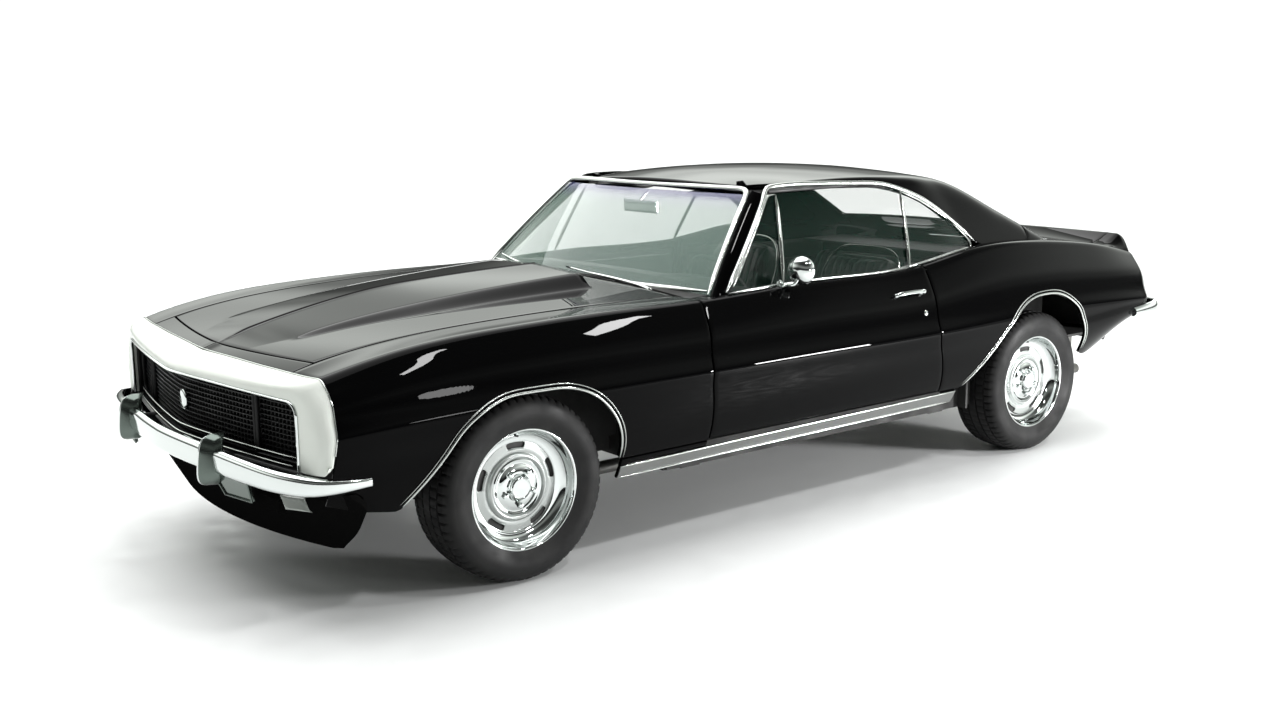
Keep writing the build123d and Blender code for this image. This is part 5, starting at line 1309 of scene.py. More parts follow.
def add_grille():
    """Black grille set back in the opening: fine bars both ways on a dark panel, plain lamp doors at its ends."""
    y = np.linspace(-.752, .752, 120)
    z = np.linspace(.484, .712, 8)
    back = plane_of_nose(y[None], z[:, None], .066)
    solid("grille", sheet(back, .006, (-1, 0, 0)), GRILLE_BLACK, "grille")
    bars = []
    for level in np.linspace(.500, .694, 13):
        path = plane_of_nose(np.linspace(-.748, .748, 60), np.full(60, level), .050)
        bars.append(sweep(path, oval(.004, .010, 6), (-1, 0, 0)))
    for where in np.linspace(-.74, .74, 75):
        if abs(abs(where) - LAMP_DOOR_Y) < .008:
            continue
        path = plane_of_nose(np.full(4, where), np.linspace(.494, .700, 4), .056)
        bars.append(sweep(path, oval(.004, .010, 6), (-1, 0, 0)))
    solid("grille_bars", join(bars), SATIN_BLACK, outward=False)
    frames = []
    for sign in (-1, 1):
        for where in (.462, .476):
            path = plane_of_nose(np.full(8, sign * where), np.linspace(.490, .702, 8), .044)
            frames.append(sweep(path, oval(.008, .016, 8), (-1, 0, 0)))
        loop = np.array([(.484, .503), (.700, .503), (.722, .520), (.734, .560), (.734, .640), (.716, .682),
                         (.690, .694), (.484, .697)])
        loop = resample(np.concatenate([loop, loop[:1]]), 70)[:-1]
        path = spots(nose_x(loop[:, 0]) + .040, sign * loop[:, 0], loop[:, 1])
        frames.append(sweep(path, oval(.006, .014, 8), (-1, 0, 0), closed=True))
    solid("lamp_doors", join(frames), SATIN_BLACK)
    walls = []
    inner, _ = opening_half()
    edge = whole(inner[None])[0]
    ring = np.concatenate([edge, plane_of_nose(np.linspace(.755, -.755, 60), np.full(60, .484), 0)[1:-1]])
    for depth in (.012, .030, .050, .072):
        row = ring.copy()
        row[:, 0] += depth
        walls.append(row)
    walls = np.array(walls)
    faces = grid_faces(4, len(ring), close_n=True)
    piece = solid("grille_surround", (walls, faces), SATIN_BLACK)
    rim = piece.modifiers.new("thickness", "SOLIDIFY")
    rim.thickness, rim.offset = .006, 1
    lines = []
    for level, half, depth in ((.5235, .70, .026), (.497, .69, .020), (.699, .71, .020), (.689, .705, .034)):
        y = np.linspace(-half, half, 110)
        z = np.full(110, level) + (.006 * (1 - (y / .7) ** 2) if level > .6 else 0)
        lines.append(moulding(plane_of_nose(y, z, depth), .0045, .005, (-1, 0, 0)))
    solid("grille_lines", join(lines), TRIM)
    cap = rings_about((NOSE_X + .045, 0, .602), (-1, 0, 0), (0, 1, 0), (0, 0, 1.15), 40,
                      [(.030, -.010), (.030, .005), (.027, .0075), (.020, .0085), (.001, .0095)])
    solid("grille_emblem", stacked(cap), CHROME)


GUARD_Y = .384
BUMPER_PLAN = curve([(-2.338, 0), (-2.336, .10), (-2.318, .30), (-2.286, .55), (-2.245, .76), (-2.165, .885),
                     (-2.070, .900), (-1.990, .899)], 80)


def add_front_bumper():
    """A crowned blade swept round the nose, its ends tapered, with guards, brackets, side plates and park lamps."""
    plan = resample(np.concatenate([BUMPER_PLAN[::-1] * (1, -1), BUMPER_PLAN[1:]]), 180)
    half = np.abs(plan[:, 1])
    reach = np.clip((plan[:, 0] + 2.20) / .20, 0, 1) * (half > .8)
    mid = np.interp(half, [0, .30, .44, .60, .80, .90], [.482, .480, .477, .473, .467, .462])
    tall = np.interp(half, [0, .30, .44, .60, .80, .90], [.086, .086, .080, .076, .068, .062]) * (1 - .50 * reach)
    tangent = unit(np.gradient(plan, axis=0))
    out = spots(-tangent[:, 1], tangent[:, 0])
    out = out * np.sign(np.sum(out * spots(-np.ones(len(plan)), plan[:, 1] * .5), -1, keepdims=True))
    c, s = circle(28)
    rows = []
    for lift, deep in zip(drawn(s, .7) * .5, np.where(c > 0, -.003 - .016 * s**4, -.030)):
        d = deep * (1 - .3 * reach)
        rows.append(spots(plan[:, 0] + out[:, 0] * d, plan[:, 1] + out[:, 1] * d, mid + tall * lift))
    solid("front_bumper", stacked(np.stack(rows, 1)), CHROME, "front_bumper", smooth=60)
    guards, feet, plates, ridges = [], [], [], []
    for sign in (-1, 1):
        a = np.linspace(0, 1, 30)
        low, high = .398, .562
        z = lerp(low, high, .5 - .5 * np.cos(np.pi * a))
        rounding = np.sqrt(np.clip(1 - np.abs(2 * (z - low) / (high - low) - 1) ** 5, .015, 1))
        wide = lerp(.054, .032, a) * rounding
        front = -2.3395 + .030 * a**2.2 + .034 * (1 - rounding)
        ridges.append(moulding(spots(front - .0004, np.full(30, sign * GUARD_Y), z)[3:-3], .007, .002, (-1, 0, 0)))
        outline = []
        for u in np.linspace(-1, 1, 21):
            wedge = .034 * (np.sqrt(u * u + .02) - .141) / .87
            outline.append(spots(front + wedge, sign * (GUARD_Y + u * wide), z))
        for u in np.linspace(1, -1, 7):
            outline.append(spots(front + .034 + .030 * rounding, sign * (GUARD_Y + u * wide * .96), z))
        guards.append(stacked(np.stack(outline, 1)))
        path = np.linspace((nose_x(.36) - .026, sign * .36, .474), (-2.12, sign * .36, .462), 6)
        feet.append(sweep(path, oval(.050, .036, 12, 4), (0, 0, 1)))
        u, v = lattice(np.linspace(0, 1, 14), np.linspace(0, 1, 8))
        y = lerp(lerp(.385, .430, v), lerp(.605, .590, v), u)
        z = lerp(.452, lerp(.372, .378, u), v)
        face = spots(-2.292 + .135 * (y - .40) + .022 * v, sign * y, z)
        plates.append(sheet(face, .008, (-1, 0, .4)))
        rim = np.concatenate([face[0], face[1:-1, -1], face[-1, ::-1]]) + (-.002, 0, 0)
        plates.append(sweep(rim, oval(.007, .007, 8), (-1, 0, 0)))
    # Guards and plates take the darker copy of the plating, a painted dark reflection; only the guards' front ridges
    # keep the bright plating.
    solid("bumper_guards", join(guards), PLATE_PAINTED_DARK, smooth=60)
    solid("guard_ridges", join(ridges), CHROME)
    solid("bumper_brackets", join(feet), SATIN_BLACK, slot="chrome")
    solid("bumper_plates", join(plates), PLATE_PAINTED_DARK, smooth=30)
    lamp = []
    for sign in (-1, 1):
        u, v = lattice(np.linspace(-1, 1, 24), np.linspace(-1, 1, 12))
        edge = np.clip(1 - u**6, 0, 1) * np.clip(1 - v**6, 0, 1)
        y = .748 + .040 * u - .020 * v
        lamp.append(sheet(spots(-2.176 + .022 * u - .005 * edge, sign * y, .398 + .019 * v), .012, (-1, 0, 0)))
    solid("park_lamps", join(lamp), GREY_LENS)


add_band()
add_header_strip()
add_grille()
add_front_bumper()

# ---------------------------------------------------------------- wheels

TYRE_PROFILE = [(.203, .094), (.207, .099), (.214, .1035), (.219, .1030), (.226, .1080), (.240, .1125), (.258, .1150),
                (.2605, .1165), (.2630, .1150), (.272, .1140), (.2745, .1152), (.277, .1135), (.288, .1095),
                (.2905, .1105), (.293, .1080), (.300, .1035), (.306, .0985), (.3105, .0935), (.3128, .0875)]
# radius and outward distance of the sidewall from the bead to the tread's edge, its raised rings included
GROOVES = (.0640, .0225, -.0225, -.0640)
GROOVE_HALF, GROOVE_DEEP = .0038, .0070
TREAD_BLOCKS, BLOCK_STEPS = 60, 5


def tread_radius(y):
    """Radius of the tread across its width: a slight crown with four round-the-tyre grooves."""
    y = np.asarray(y, float)
    r = .3196 - .0062 * np.abs(y / .0875) ** 2.6
    for g in GROOVES:
        r = r - GROOVE_DEEP * (np.abs(y - g) < GROOVE_HALF)
    return r


def tyre(centre):
    """A closed turned tyre whose tread is cut by cross slots, deeper in the shoulders, staggered rib by rib."""
    edges = [.0875]
    for g in GROOVES:
        edges += [g + GROOVE_HALF + .0004, g + GROOVE_HALF - .0004, g - GROOVE_HALF + .0004, g - GROOVE_HALF - .0004]
    edges.append(-.0875)
    mids = np.sort(np.concatenate([edges, np.linspace(-.08, .08, 5)]))[::-1]
    tread = spots(tread_radius(mids), mids)
    wall = np.array(TYRE_PROFILE)
    inside = wall[::-1] * (1, -1)
    profile = np.concatenate([wall[:-1], tread, inside[1::2], [(.199, -.085), (.199, .085)]])
    steps = TREAD_BLOCKS * BLOCK_STEPS
    points, faces = turned(profile, steps)
    points = points.reshape(steps, len(profile), 3)
    k = np.arange(steps)[:, None]
    y = profile[:, 1][None]
    rib = np.digitize(np.abs(y), [.024, .066])
    phase = (k + rib * 3 + (y > 0) * 2) % BLOCK_STEPS
    on_tread = (profile[:, 0][None] > .3085) & (np.abs(y) < .096)
    cut = np.where(on_tread & (phase < 1), np.array([.0022, .0034, .0062])[rib], 0)
    radius = np.linalg.norm(points[..., (0, 2)], axis=-1)
    points[..., (0, 2)] *= ((radius - cut) / radius)[..., None]
    return points + np.asarray(centre), faces


DISC_PROFILE = [(.1565, .0415), (.1545, .0425), (.1340, .0445), (.1240, .0455), (.1200, .0440), (.1185, .0440),
                (.1160, .0500), (.1120, .0550), (.1065, .0575), (.1020, .0560), (.0985, .0515), (.0970, .0480),
                (.0700, .0480), (.0500, .0480), (.0320, .0480)]
SLOT_COUNT, SLOT_LOW, SLOT_HIGH, SLOT_HALF = 5, .1340, .1545, .255


def wheel_disc():
    """The wheel's disc round its axle at the origin: turned, with five rounded slots left open, 4 mm thick."""
    radii = np.concatenate([[.1565], np.linspace(SLOT_HIGH, SLOT_LOW, 9), [r for r, _ in DISC_PROFILE[3:]]])
    lift = np.interp(-radii, -np.array([r for r, _ in DISC_PROFILE]), [y for _, y in DISC_PROFILE])
    per = 34
    base = np.linspace(-np.pi / SLOT_COUNT, np.pi / SLOT_COUNT, per, endpoint=False)
    inside = np.abs(base) <= SLOT_HALF
    columns = np.where(inside)[0]
    base[columns] = np.linspace(-SLOT_HALF, SLOT_HALF, len(columns))
    angle = np.concatenate([base + k * 2 * np.pi / SLOT_COUNT for k in range(SLOT_COUNT)]) + np.pi / 2
    r, a = lattice(radii, angle)
    local = np.tile(base, SLOT_COUNT)[None] + 0 * r
    mid = (SLOT_LOW + SLOT_HIGH) / 2
    across = (r - mid) / ((SLOT_HIGH - SLOT_LOW) / 2)
    ends = SLOT_HALF - .050 * np.clip(np.abs(across), 0, 1) ** 4
    within = (np.abs(local) <= SLOT_HALF + 1e-9) & (np.abs(across) <= 1 + 1e-9)
    a = a - local + np.where(within, local * ends / SLOT_HALF, local)
    points = spots(np.cos(a) * r, -(lift[:, None] + 0 * r), np.sin(a) * r)
    m, n = points.shape[:2]
    faces = np.array(grid_faces(m, n, close_n=True)).reshape(m - 1, n, 4)
    keep = np.ones((m - 1, n), bool)
    rows = np.where((radii[:-1] <= SLOT_HIGH + 1e-9) & (radii[1:] >= SLOT_LOW - 1e-9))[0]
    first, last = columns[0], columns[-1]
    for k in range(SLOT_COUNT):
        keep[rows[0]:rows[-1] + 1, k * per + first:k * per + last] = False
    return points, faces[keep].tolist()


def hex_nut(centre, radius, low, high):
    """A nut with a rounded crown, axis along Y."""
    return stacked(rings_about(np.asarray(centre), (0, -1, 0), (1, 0, 0), (0, 0, 1), 6, [
        (radius, low), (radius, high - .004), (radius * .86, high - .001), (radius * .45, high),
        (radius * .01, high + .0005)]))


def closed_turn(profile, steps=84):
    """A turned form about Y whose outline starts and ends on or near the axle; outward is -Y."""
    return turned([(r, -y) for r, y in profile], steps)


def add_wheels():
    """Every wheel: tyre, silver disc, bright barrel ring, bright centre with nuts and a plain cap, dark back."""
    barrel = [(.2075, .0935), (.2085, .0965), (.2075, .0990), (.2045, .0995), (.2010, .0975), (.1985, .0920),
              (.1955, .0800), (.1900, .0640), (.1820, .0530), (.1720, .0475), (.1620, .0450), (.1560, .0445),
              (.1545, .0432), (.1560, .0405), (.1740, .0425), (.1880, .0520), (.1960, .0700), (.2000, .0880)]
    centre = [(.0975, .0470), (.0975, .0505), (.0930, .0530), (.0880, .0520), (.0840, .0500), (.0780, .0505),
              (.0740, .0540), (.0480, .0560), (.0440, .0600), (.0400, .0680), (.0385, .0730), (.0350, .0755),
              (.0330, .0740), (.0310, .0738), (.0120, .0748), (.0005, .0750), (.0005, .0470)]
    back = [(.2030, -.0900), (.2060, -.0940), (.2000, -.0950), (.1900, -.0800), (.1860, -.0300), (.1850, .0200),
            (.1700, .0360), (.1570, .0385), (.1200, .0370), (.0600, .0400), (.0300, .0380), (.0300, .0340),
            (.1200, .0320), (.1570, .0340), (.1780, .0200), (.1930, .0100), (.1960, -.0300), (.1980, -.0780)]
    disc, ring, hub, shell = wheel_disc(), closed_turn(barrel), closed_turn(centre), closed_turn(back, 64)
    nuts = join([hex_nut((np.cos(a) * .0603, 0, np.sin(a) * .0603), .0105, .052,
                         .072) for a in np.radians(90 + 72 * np.arange(5) + 36)])
    for end in ("front", "rear"):
        for side, sign in SIDES:
            place = np.array([AXLE_X[end], sign * WHEEL_Y, WHEEL_Z])
            body = f"wheel_{end}_{side}"

            def at_wheel(part):
                """The part in its wheel's place, mirrored for the right-hand side."""
                part = part if sign < 0 else flipped(part)
                return np.asarray(part[0]).reshape(-1, 3) + place, part[1]

            solid(f"tyre_{end}_{side}", tyre(place), RUBBER, body.replace("wheel", "tyre"), body=body, smooth=35)
            piece = solid(f"wheel_disc_{end}_{side}", at_wheel(disc), SILVER, body.replace("wheel", "rim"), body=body,
                          outward=False, smooth=60)
            thick = piece.modifiers.new("thickness", "SOLIDIFY")
            thick.thickness, thick.offset = .0035, -1
            solid(f"trim_ring_{end}_{side}", at_wheel(ring), CHROME, body=body, smooth=60)
            solid(f"hub_{end}_{side}", at_wheel(join([hub, nuts])), CHROME, body=body)
            solid(f"wheel_back_{end}_{side}", at_wheel(shell), FLAT_BLACK, body=body, slot="wheel_silver")
            valve = sweep(np.array([(-.005, -.042, .176), (-.005, -.060, .178), (-.005, -.066, .1785)]),
                          oval(.007, .007, 10), (0, 0, 1))
            solid(f"valve_{end}_{side}", at_wheel(valve), SATIN_BLACK, body=body, slot="wheel_silver")


# ---------------------------------------------------------------- side trim


def arch_trim(arch, low_front, low_rear, out):
    """The bright bead along a wheel opening, moved out from its edge in side view."""
    line = resample(arch_between(arch, low_front, low_rear), 110)
    tangent = unit(np.gradient(line, axis=0))
    line = line + spots(-tangent[:, 1], tangent[:, 0]) * out
    t = t_at_height(line[:, 0], line[:, 1])
    return on_line(skin(line[:, 0], t) + skin_normal(line[:, 0], t) * .0004, 3)


def add_side_trim():
    """Double beads on the wheel openings, the grey sill band between two bright lines, and the door handles."""
    for end, arch, low_front, low_rear in (("front", FRONT_ARCH, .345, .372), ("rear", REAR_ARCH, .372, .440)):
        beads = [moulding(arch_trim(arch, low_front, low_rear, out), width, .0034, (0, -1, 0))
                 for out, width in ((.0045, .009), (.0185, .0045))]
        both_sides(f"arch_trim_{end}", join(beads), TRIM)
    x0, x1 = -1.022, .775
    xs = np.linspace(x0, x1, 90)
    low_t, high_t = np.zeros(90), t_at_height(xs, np.full(90, ROCKER_TOP_Z - 2 * GAP))
    pairs = spots(np.broadcast_to(xs, (10, 90)), lerp(low_t[None], high_t[None], np.linspace(0, 1, 10)[:, None]))
    outer = on_skin(pairs)
    normals = skin_normal(pairs[..., 0], pairs[..., 1])
    both_sides("rocker", shell_arrays(outer, .012, normals, ROLL), BLACK)
    top = np.interp(xs, [x0, x1], [.334, .356])
    foot = np.interp(xs, [x0, x1], [.290, .306])
    grid = []
    for f, lift in ((0, .0005), (.06, .0045), (.5, .0055), (.94, .0045), (1, .0005)):
        t = t_at_height(xs, lerp(foot, top, f))
        grid.append(skin(xs, t) + skin_normal(xs, t) * lift)
    both_sides("sill_band", sheet(np.array(grid), .003, (0, -1, 0), .0005), SILL_SILVER)
    lines = []
    for z, width in ((top, .010), (foot, .008)):
        t = t_at_height(xs, z)
        lines.append(moulding(on_line(skin(xs, t) + skin_normal(xs, t) * .003, 2), width, .0065, (0, -1, 0)))
    both_sides("sill_lines", join(lines), TRIM)
    handle_t = float(t_at_height(.450, .802))
    spot, way = skin(.450, handle_t), skin_normal(.450, handle_t)
    xs = np.linspace(-.098, .080, 34)
    path = spot + spots(xs, 0 * xs, .0015 * np.cos(xs * 20)) + way * (.020 - .010 * np.abs(xs / .1) ** 4)[:, None]
    grip = sweep(path, oval(.017, .010, 16, 2.6), way, scale=np.interp(np.abs(xs), [0, .07, .098], [1, .95, .55]))
    feet = []
    for x, wide in ((-.084, .024), (.068, .030)):
        a = np.linspace(0, 1, 6)[:, None]
        feet.append(sweep(spot + np.array([x, 0, 0]) + way * (.016 * a - .002), oval(wide, .020, 14, 2.6), (0, 0, 1),
                          scale=np.array([1, 1, .95, .9, .8, .6])))
    dial = sweep(spot + np.array([.070, 0, 0]) + way * (.010 + .016 * np.linspace(0, 1, 5)[:, None]),
                 oval(.020, .020, 18), (0, 0, 1), scale=np.array([1, 1, 1, .9, .5]))
    both_sides("door_handle", join([grip, dial] + feet), CHROME, body="door_{}")
    lock_t = float(t_at_height(.520, .722))
    spot, way = skin(.520, lock_t), skin_normal(.520, lock_t)
    lock = sweep(spot + way * np.linspace(-.001, .0035, 5)[:, None], oval(.022, .022, 24), (0, 0, 1),
                 scale=np.array([1, 1, .96, .8, .3]))
    both_sides("door_lock", lock, CHROME, body="door_{}")


# ---------------------------------------------------------------- tail


def add_tail():
    """Tail panel between the quarters' ends, lamps in bright bezels, the lower valance, a blank plate and a cap."""
    t = np.linspace(0, float(t_at_half(TAIL_EDGE_X, .624)), 26)
    edge = skin(np.full(26, TAIL_EDGE_X), t)
    f = np.linspace(1, 0, 32)
    rows = []
    for p in edge:
        rows.append(spots(p[0] - .002 + .012 * (1 - f**2), p[1] * f, p[2] + 0 * f))
    rows.append(spots(2.240 + .004 * (1 - f**2), -.615 * f, .822 + .006 * (1 - f**2)))
    rows.append(spots(2.229 + .004 * (1 - f**2), -.613 * f, .830 + .006 * (1 - f**2)))
    half = np.array(rows)
    panel = sheet(whole(half), .012, (1, 0, 0))
    solid("tail_panel", panel, BLACK, "tail_panel", smooth=50)
    low = edge[0]
    rows = []
    for k in np.linspace(0, 1, 12):
        z = lerp(low[2] + .002, .388, k)
        x = 2.254 - .070 * k**1.6
        rows.append(spots(x + .012 * (1 - f**2), (low[1] + .010 + .02 * k) * f, z + 0 * f))
    solid("rear_valance", sheet(whole(np.array(rows)), .008, (1, 0, 0)), BLACK)
    lenses, bezels, dividers = [], [], []
    for sign in (-1, 1):
        u, v = lattice(np.linspace(-1, 1, 28), np.linspace(-1, 1, 16))
        su, sv = u * np.sqrt(1 - .10 * v**8), v * np.sqrt(1 - .10 * u**8)
        y, z = .445 + .138 * su, .705 + .052 * sv
        crown = .010 * (1 - np.abs(u) ** 6) * (1 - np.abs(v) ** 6)
        x = 2.2575 + .010 * (1 - (y / .735) ** 2) + .001 + crown
        lenses.append(sheet(spots(x, sign * y, z), .010, (1, 0, 0)))
        c, s = circle(90)
        y, z = .445 + .143 * drawn(c, .28), .705 + .057 * drawn(s, .28)
        loop = spots(2.2585 + .010 * (1 - (y / .735) ** 2), sign * y, z)
        bezels.append(sweep(loop, oval(.011, .016, 10), (1, 0, 0), closed=True))
        bar = spots(np.full(8, 2.2685 + .010 * (1 - (.445 / .735) ** 2)), np.full(8, sign * .445),
                    np.linspace(.651, .759, 8))
        dividers.append(moulding(bar, .006, .004, (1, 0, 0)))
    solid("tail_lamps", join(lenses), RED_LENS)
    solid("lamp_bezels", join(bezels + dividers), CHROME)
    rings = rings_about((2.264, 0, .706), (1, 0, 0), (0, 1, 0), (0, 0, 1), 60,
                        [(.062, 0), (.062, .006), (.058, .010), (.050, .0115), (.048, .0095), (.022, .011),
                         (.018, .013), (.001, .0135)])
    solid("fuel_cap", stacked(rings), CHROME)
    u, v = lattice(np.linspace(-1, 1, 20), np.linspace(-1, 1, 12))
    plate = spots(2.262 + .001 * u**2, .152 * u, .452 + .076 * v)
    solid("blank_plate", sheet(plate, .002, (1, 0, 0), .0005), WHITE)
    c, s = circle(80)
    loop = spots(2.263 + 0 * c, .154 * drawn(c, .25), .452 + .078 * drawn(s, .25))
    solid("plate_frame", sweep(loop, oval(.008, .006, 8), (1, 0, 0), closed=True), TRIM)


REAR_PLAN = curve([(2.3425, 0), (2.3425, .30), (2.340, .62), (2.325, .84), (2.26, .898), (2.16, .905), (2.04, .908)],
                  70)


def add_rear_bumper():
    """A slim crowned blade swept round the tail and along the quarters, on four brackets."""
    plan = resample(np.concatenate([REAR_PLAN[::-1] * (1, -1), REAR_PLAN[1:]]), 160)
    reach = np.clip((2.28 - plan[:, 0]) / .24, 0, 1)
    tall = .076 * (1 - .45 * reach)
    tangent = unit(np.gradient(plan, axis=0))
    out = spots(tangent[:, 1], -tangent[:, 0])
    out *= np.sign(np.sum(out * spots(np.ones(len(plan)), plan[:, 1]), -1, keepdims=True))
    c, s = circle(24)
    rows = [spots(plan[:, 0] + out[:, 0] * d, plan[:, 1] + out[:, 1] * d, .572 + tall * h * .5) for d,
            h in zip(np.where(c > 0, -.002 - .016 * s**2, -.026), drawn(s, .8))]
    solid("rear_bumper", stacked(np.stack(rows, 1)), CHROME, "rear_bumper", smooth=60)
    feet = []
    for sign in (-1, 1):
        for y in (.28, .60):
            path = np.linspace((2.325, sign * y, .572), (2.240, sign * y, .566), 6)
            feet.append(sweep(path, oval(.044, .034, 12, 4), (0, 0, 1)))
    solid("rear_brackets", join(feet), SATIN_BLACK, slot="chrome")


# ---------------------------------------------------------------- cowl, wipers, mirror


def add_cowl():
    """Cowl panel between the hood and the windshield, with two rows of air slots drawn as flat black ovals: painted
    shade of the openings.
    """
    x, f = lattice(np.linspace(-.6300, -.470, 12), np.linspace(1, 0, 40))
    y = f * .737
    z = top_height(np.minimum(x, -.60), y) - .004 - .010 * np.clip((x + .56) / .09, 0, 1)
    solid("cowl", sheet(whole(spots(x, -y, z)), .010), BLACK)
    # Each slot is a flat black oval lying on the closed cowl: painted shade standing for the dark opening.
    slot_shades = []
    for y in np.concatenate([np.linspace(-.60, -.12, 25), np.linspace(.12, .60, 25)]):
        xs = np.linspace(-.612, -.572, 6)
        z = top_height(np.full(6, -.60), np.full(6, abs(y))) - .003
        slot_shades.append(sweep(spots(xs, np.full(6, y), z), oval(.007, .0045, 8), (0, 0, 1)))
    solid("cowl_slot_shades", join(slot_shades), FLAT_BLACK)


def add_wipers():
    """Two wipers: pivot, cranked arm and blade, lying just off the glass."""
    arms, blades = [], []
    for pivot_y, tip, heel in ((-.52, (.05, .100), (-.36, .055)), (.20, (.69, .100), (.31, .055))):
        base = screen_point(pivot_y / .766, .02) + (-.030, 0, .010)
        ty, th = tip
        f = np.linspace(0, 1, 22)
        mid_y, mid_h = lerp(ty, heel[0], .45), lerp(th, heel[1], .45)
        goal = screen_point(mid_y / .75, mid_h) + np.array([-.016, 0, .012])
        path = curve([base, base + (-.004, 0, .018), lerp(base, goal, .5) + (-.006, 0, .012), goal], 22)
        arms.append(sweep(path, oval(.012, .006, 10, 3), (-.6, 0, .8), scale=np.linspace(1, .55, 22)))
        arms.append(sweep(base + np.linspace(-.014, .012, 6)[:, None] * np.array([-.1, 0, 1]), oval(.026, .026, 18),
                          (1, 0, 0), scale=np.array([1, 1, 1, .95, .8, .4])))
        line = screen_point(lerp(ty, heel[0], f) / .75, lerp(th, heel[1], f))
        blades.append(sweep(line + np.array([-.009, 0, .008]), oval(.004, .010, 8), (-.6, 0, .8)))
        arms.append(sweep(line[2:-2] + np.array([-.013, 0, .011]), oval(.006, .003, 8), (-.6, 0, .8)))
    solid("wiper_arms", join(arms), TRIM)
    solid("wiper_blades", join(blades), SEAL)


def add_mirror():
    """Round door mirror: a shallow bright bowl with a flat glass, on a slim curved stalk."""
    centre = np.array([-.160, -.855, .948])
    aim = unit(np.array([.93, .36, .03]))
    side = unit(np.cross(aim, (0, 0, 1)))
    up = np.cross(side, aim)
    bowl = stacked(rings_about(centre, aim, side, up, 48, [
        (.0005, -.034), (.016, -.033), (.030, -.029), (.042, -.021), (.050, -.010), (.0545, .000), (.0555, .006),
        (.0545, .009), (.0520, .0095), (.0510, .0075), (.0005, .0075)]), False, False)
    stalk = curve([(-.205, -.800, .878), (-.205, -.822, .890), (-.200, -.850, .895), (-.188, -.862, .905),
                   (-.180, -.860, .930)], 24)
    arm = sweep(stalk, oval(.016, .013, 14), (1, 0, 0), scale=np.linspace(1.15, .8, 24))
    foot = sweep(np.array([(-.205, -.788, .880), (-.205, -.800, .884), (-.205, -.806, .887)]), oval(.060, .026, 20),
                 (1, 0, 0), scale=np.array([1, 1, .7]))
    solid("mirror", join([bowl, arm, foot]), CHROME, "mirror_left", body="door_left")
    disc = rings_about(centre, aim, side, up, 48, [(.0508, .0070), (.0508, .0082), (.0500, .0086), (.0005, .0086)])
    solid("mirror_glass", stacked(disc), MIRROR_GLASS, body="door_left")


add_wheels()
add_side_trim()
add_tail()
add_rear_bumper()
add_cowl()
add_wipers()
add_mirror()

# ---------------------------------------------------------------- seats


def soft_block(half, power=.30, rows=40, cols=64):
    """A rounded block: a sphere's grid whose sines and cosines are drawn out towards a box's corners."""
    u = np.linspace(-np.pi / 2 + .02, np.pi / 2 - .02, rows)[:, None]
    v = np.linspace(-np.pi, np.pi, cols, endpoint=False)[None]
    level, height = drawn(np.cos(u), power), drawn(np.sin(u), power)
    points, faces = stacked(spots(half[0] * level * drawn(np.cos(v), power),
                                  half[1] * level * drawn(np.sin(v), power), half[2] * height + 0 * v))
    return points.reshape(-1, 3), faces


def inflate(piece, cap, pressure=4.0, frames=20):
    """Blows the cover up as cloth with no gravity, and keeps each point within the cap of where it was."""
    base = np.empty(len(piece.data.vertices) * 3)
    piece.data.vertices.foreach_get("co", base)
    cloth = piece.modifiers.new("cloth", "CLOTH")
    cloth.settings.use_pressure = True
    cloth.settings.uniform_pressure_force = pressure
    cloth.settings.effector_weights.gravity = 0
    scene = bpy.context.scene
    for frame_number in range(1, frames + 1):
        scene.frame_set(frame_number)
    done = piece.evaluated_get(bpy.context.evaluated_depsgraph_get()).data
    final = np.empty(len(base))
    done.vertices.foreach_get("co", final)
    move = (final - base).reshape(-1, 3)
    far = np.linalg.norm(move, axis=1, keepdims=True)
    move *= np.minimum(1, cap / np.maximum(far, 1e-9))
    piece.modifiers.remove(cloth)
    scene.frame_set(1)
    piece.data.vertices.foreach_set("co", base + move.ravel())
    piece.data.update()


def cushion(name, half, shape, turn, place, voxel=.012, cap=.024, copies=()):
    """A padded piece: soft block, evened by voxels, blown up, shaped and sewn by a formula, then set in place."""
    points, faces = soft_block(np.asarray(half) - (.006, .006, .010))
    mesh = bpy.data.meshes.new(name)
    mesh.from_pydata(points.tolist(), [], faces)
    work = bpy.data.objects.new(name, mesh)
    bpy.context.scene.collection.objects.link(work)
    bpy.context.view_layer.objects.active = work
    remesh = work.modifiers.new("voxels", "REMESH")
    remesh.mode, remesh.voxel_size = "VOXEL", voxel
    bpy.ops.object.select_all(action="DESELECT")
    work.select_set(True)
    bpy.ops.object.modifier_apply(modifier="voxels")
    inflate(work, cap)
    subdivide = work.modifiers.new("finer", "SUBSURF")
    subdivide.levels = subdivide.render_levels = 1
    bpy.ops.object.modifier_apply(modifier="finer")
    count = len(work.data.vertices)
    co, no = np.empty(count * 3), np.empty(count * 3)
    work.data.vertices.foreach_get("co", co)
    work.data.vertices.foreach_get("normal", no)
    co, no = co.reshape(-1, 3), no.reshape(-1, 3)
    co = shape(co, no)
    made = [(work, place)]
    for copy_name, spot in copies:
        piece = work.copy()
        piece.data = work.data.copy()
        bpy.context.scene.collection.objects.link(piece)
        piece.name = copy_name
        made.append((piece, spot))
    for piece, spot in made:
        world = co @ np.asarray(turn).T + np.asarray(spot)
        piece.data.vertices.foreach_set("co", world.ravel())
        piece.data.update()
        piece.data.polygons.foreach_set("use_smooth", np.ones(len(piece.data.polygons), bool))
        piece.data.materials.append(VINYL)
        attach(piece, "chassis")
    return [piece for piece, _ in made]


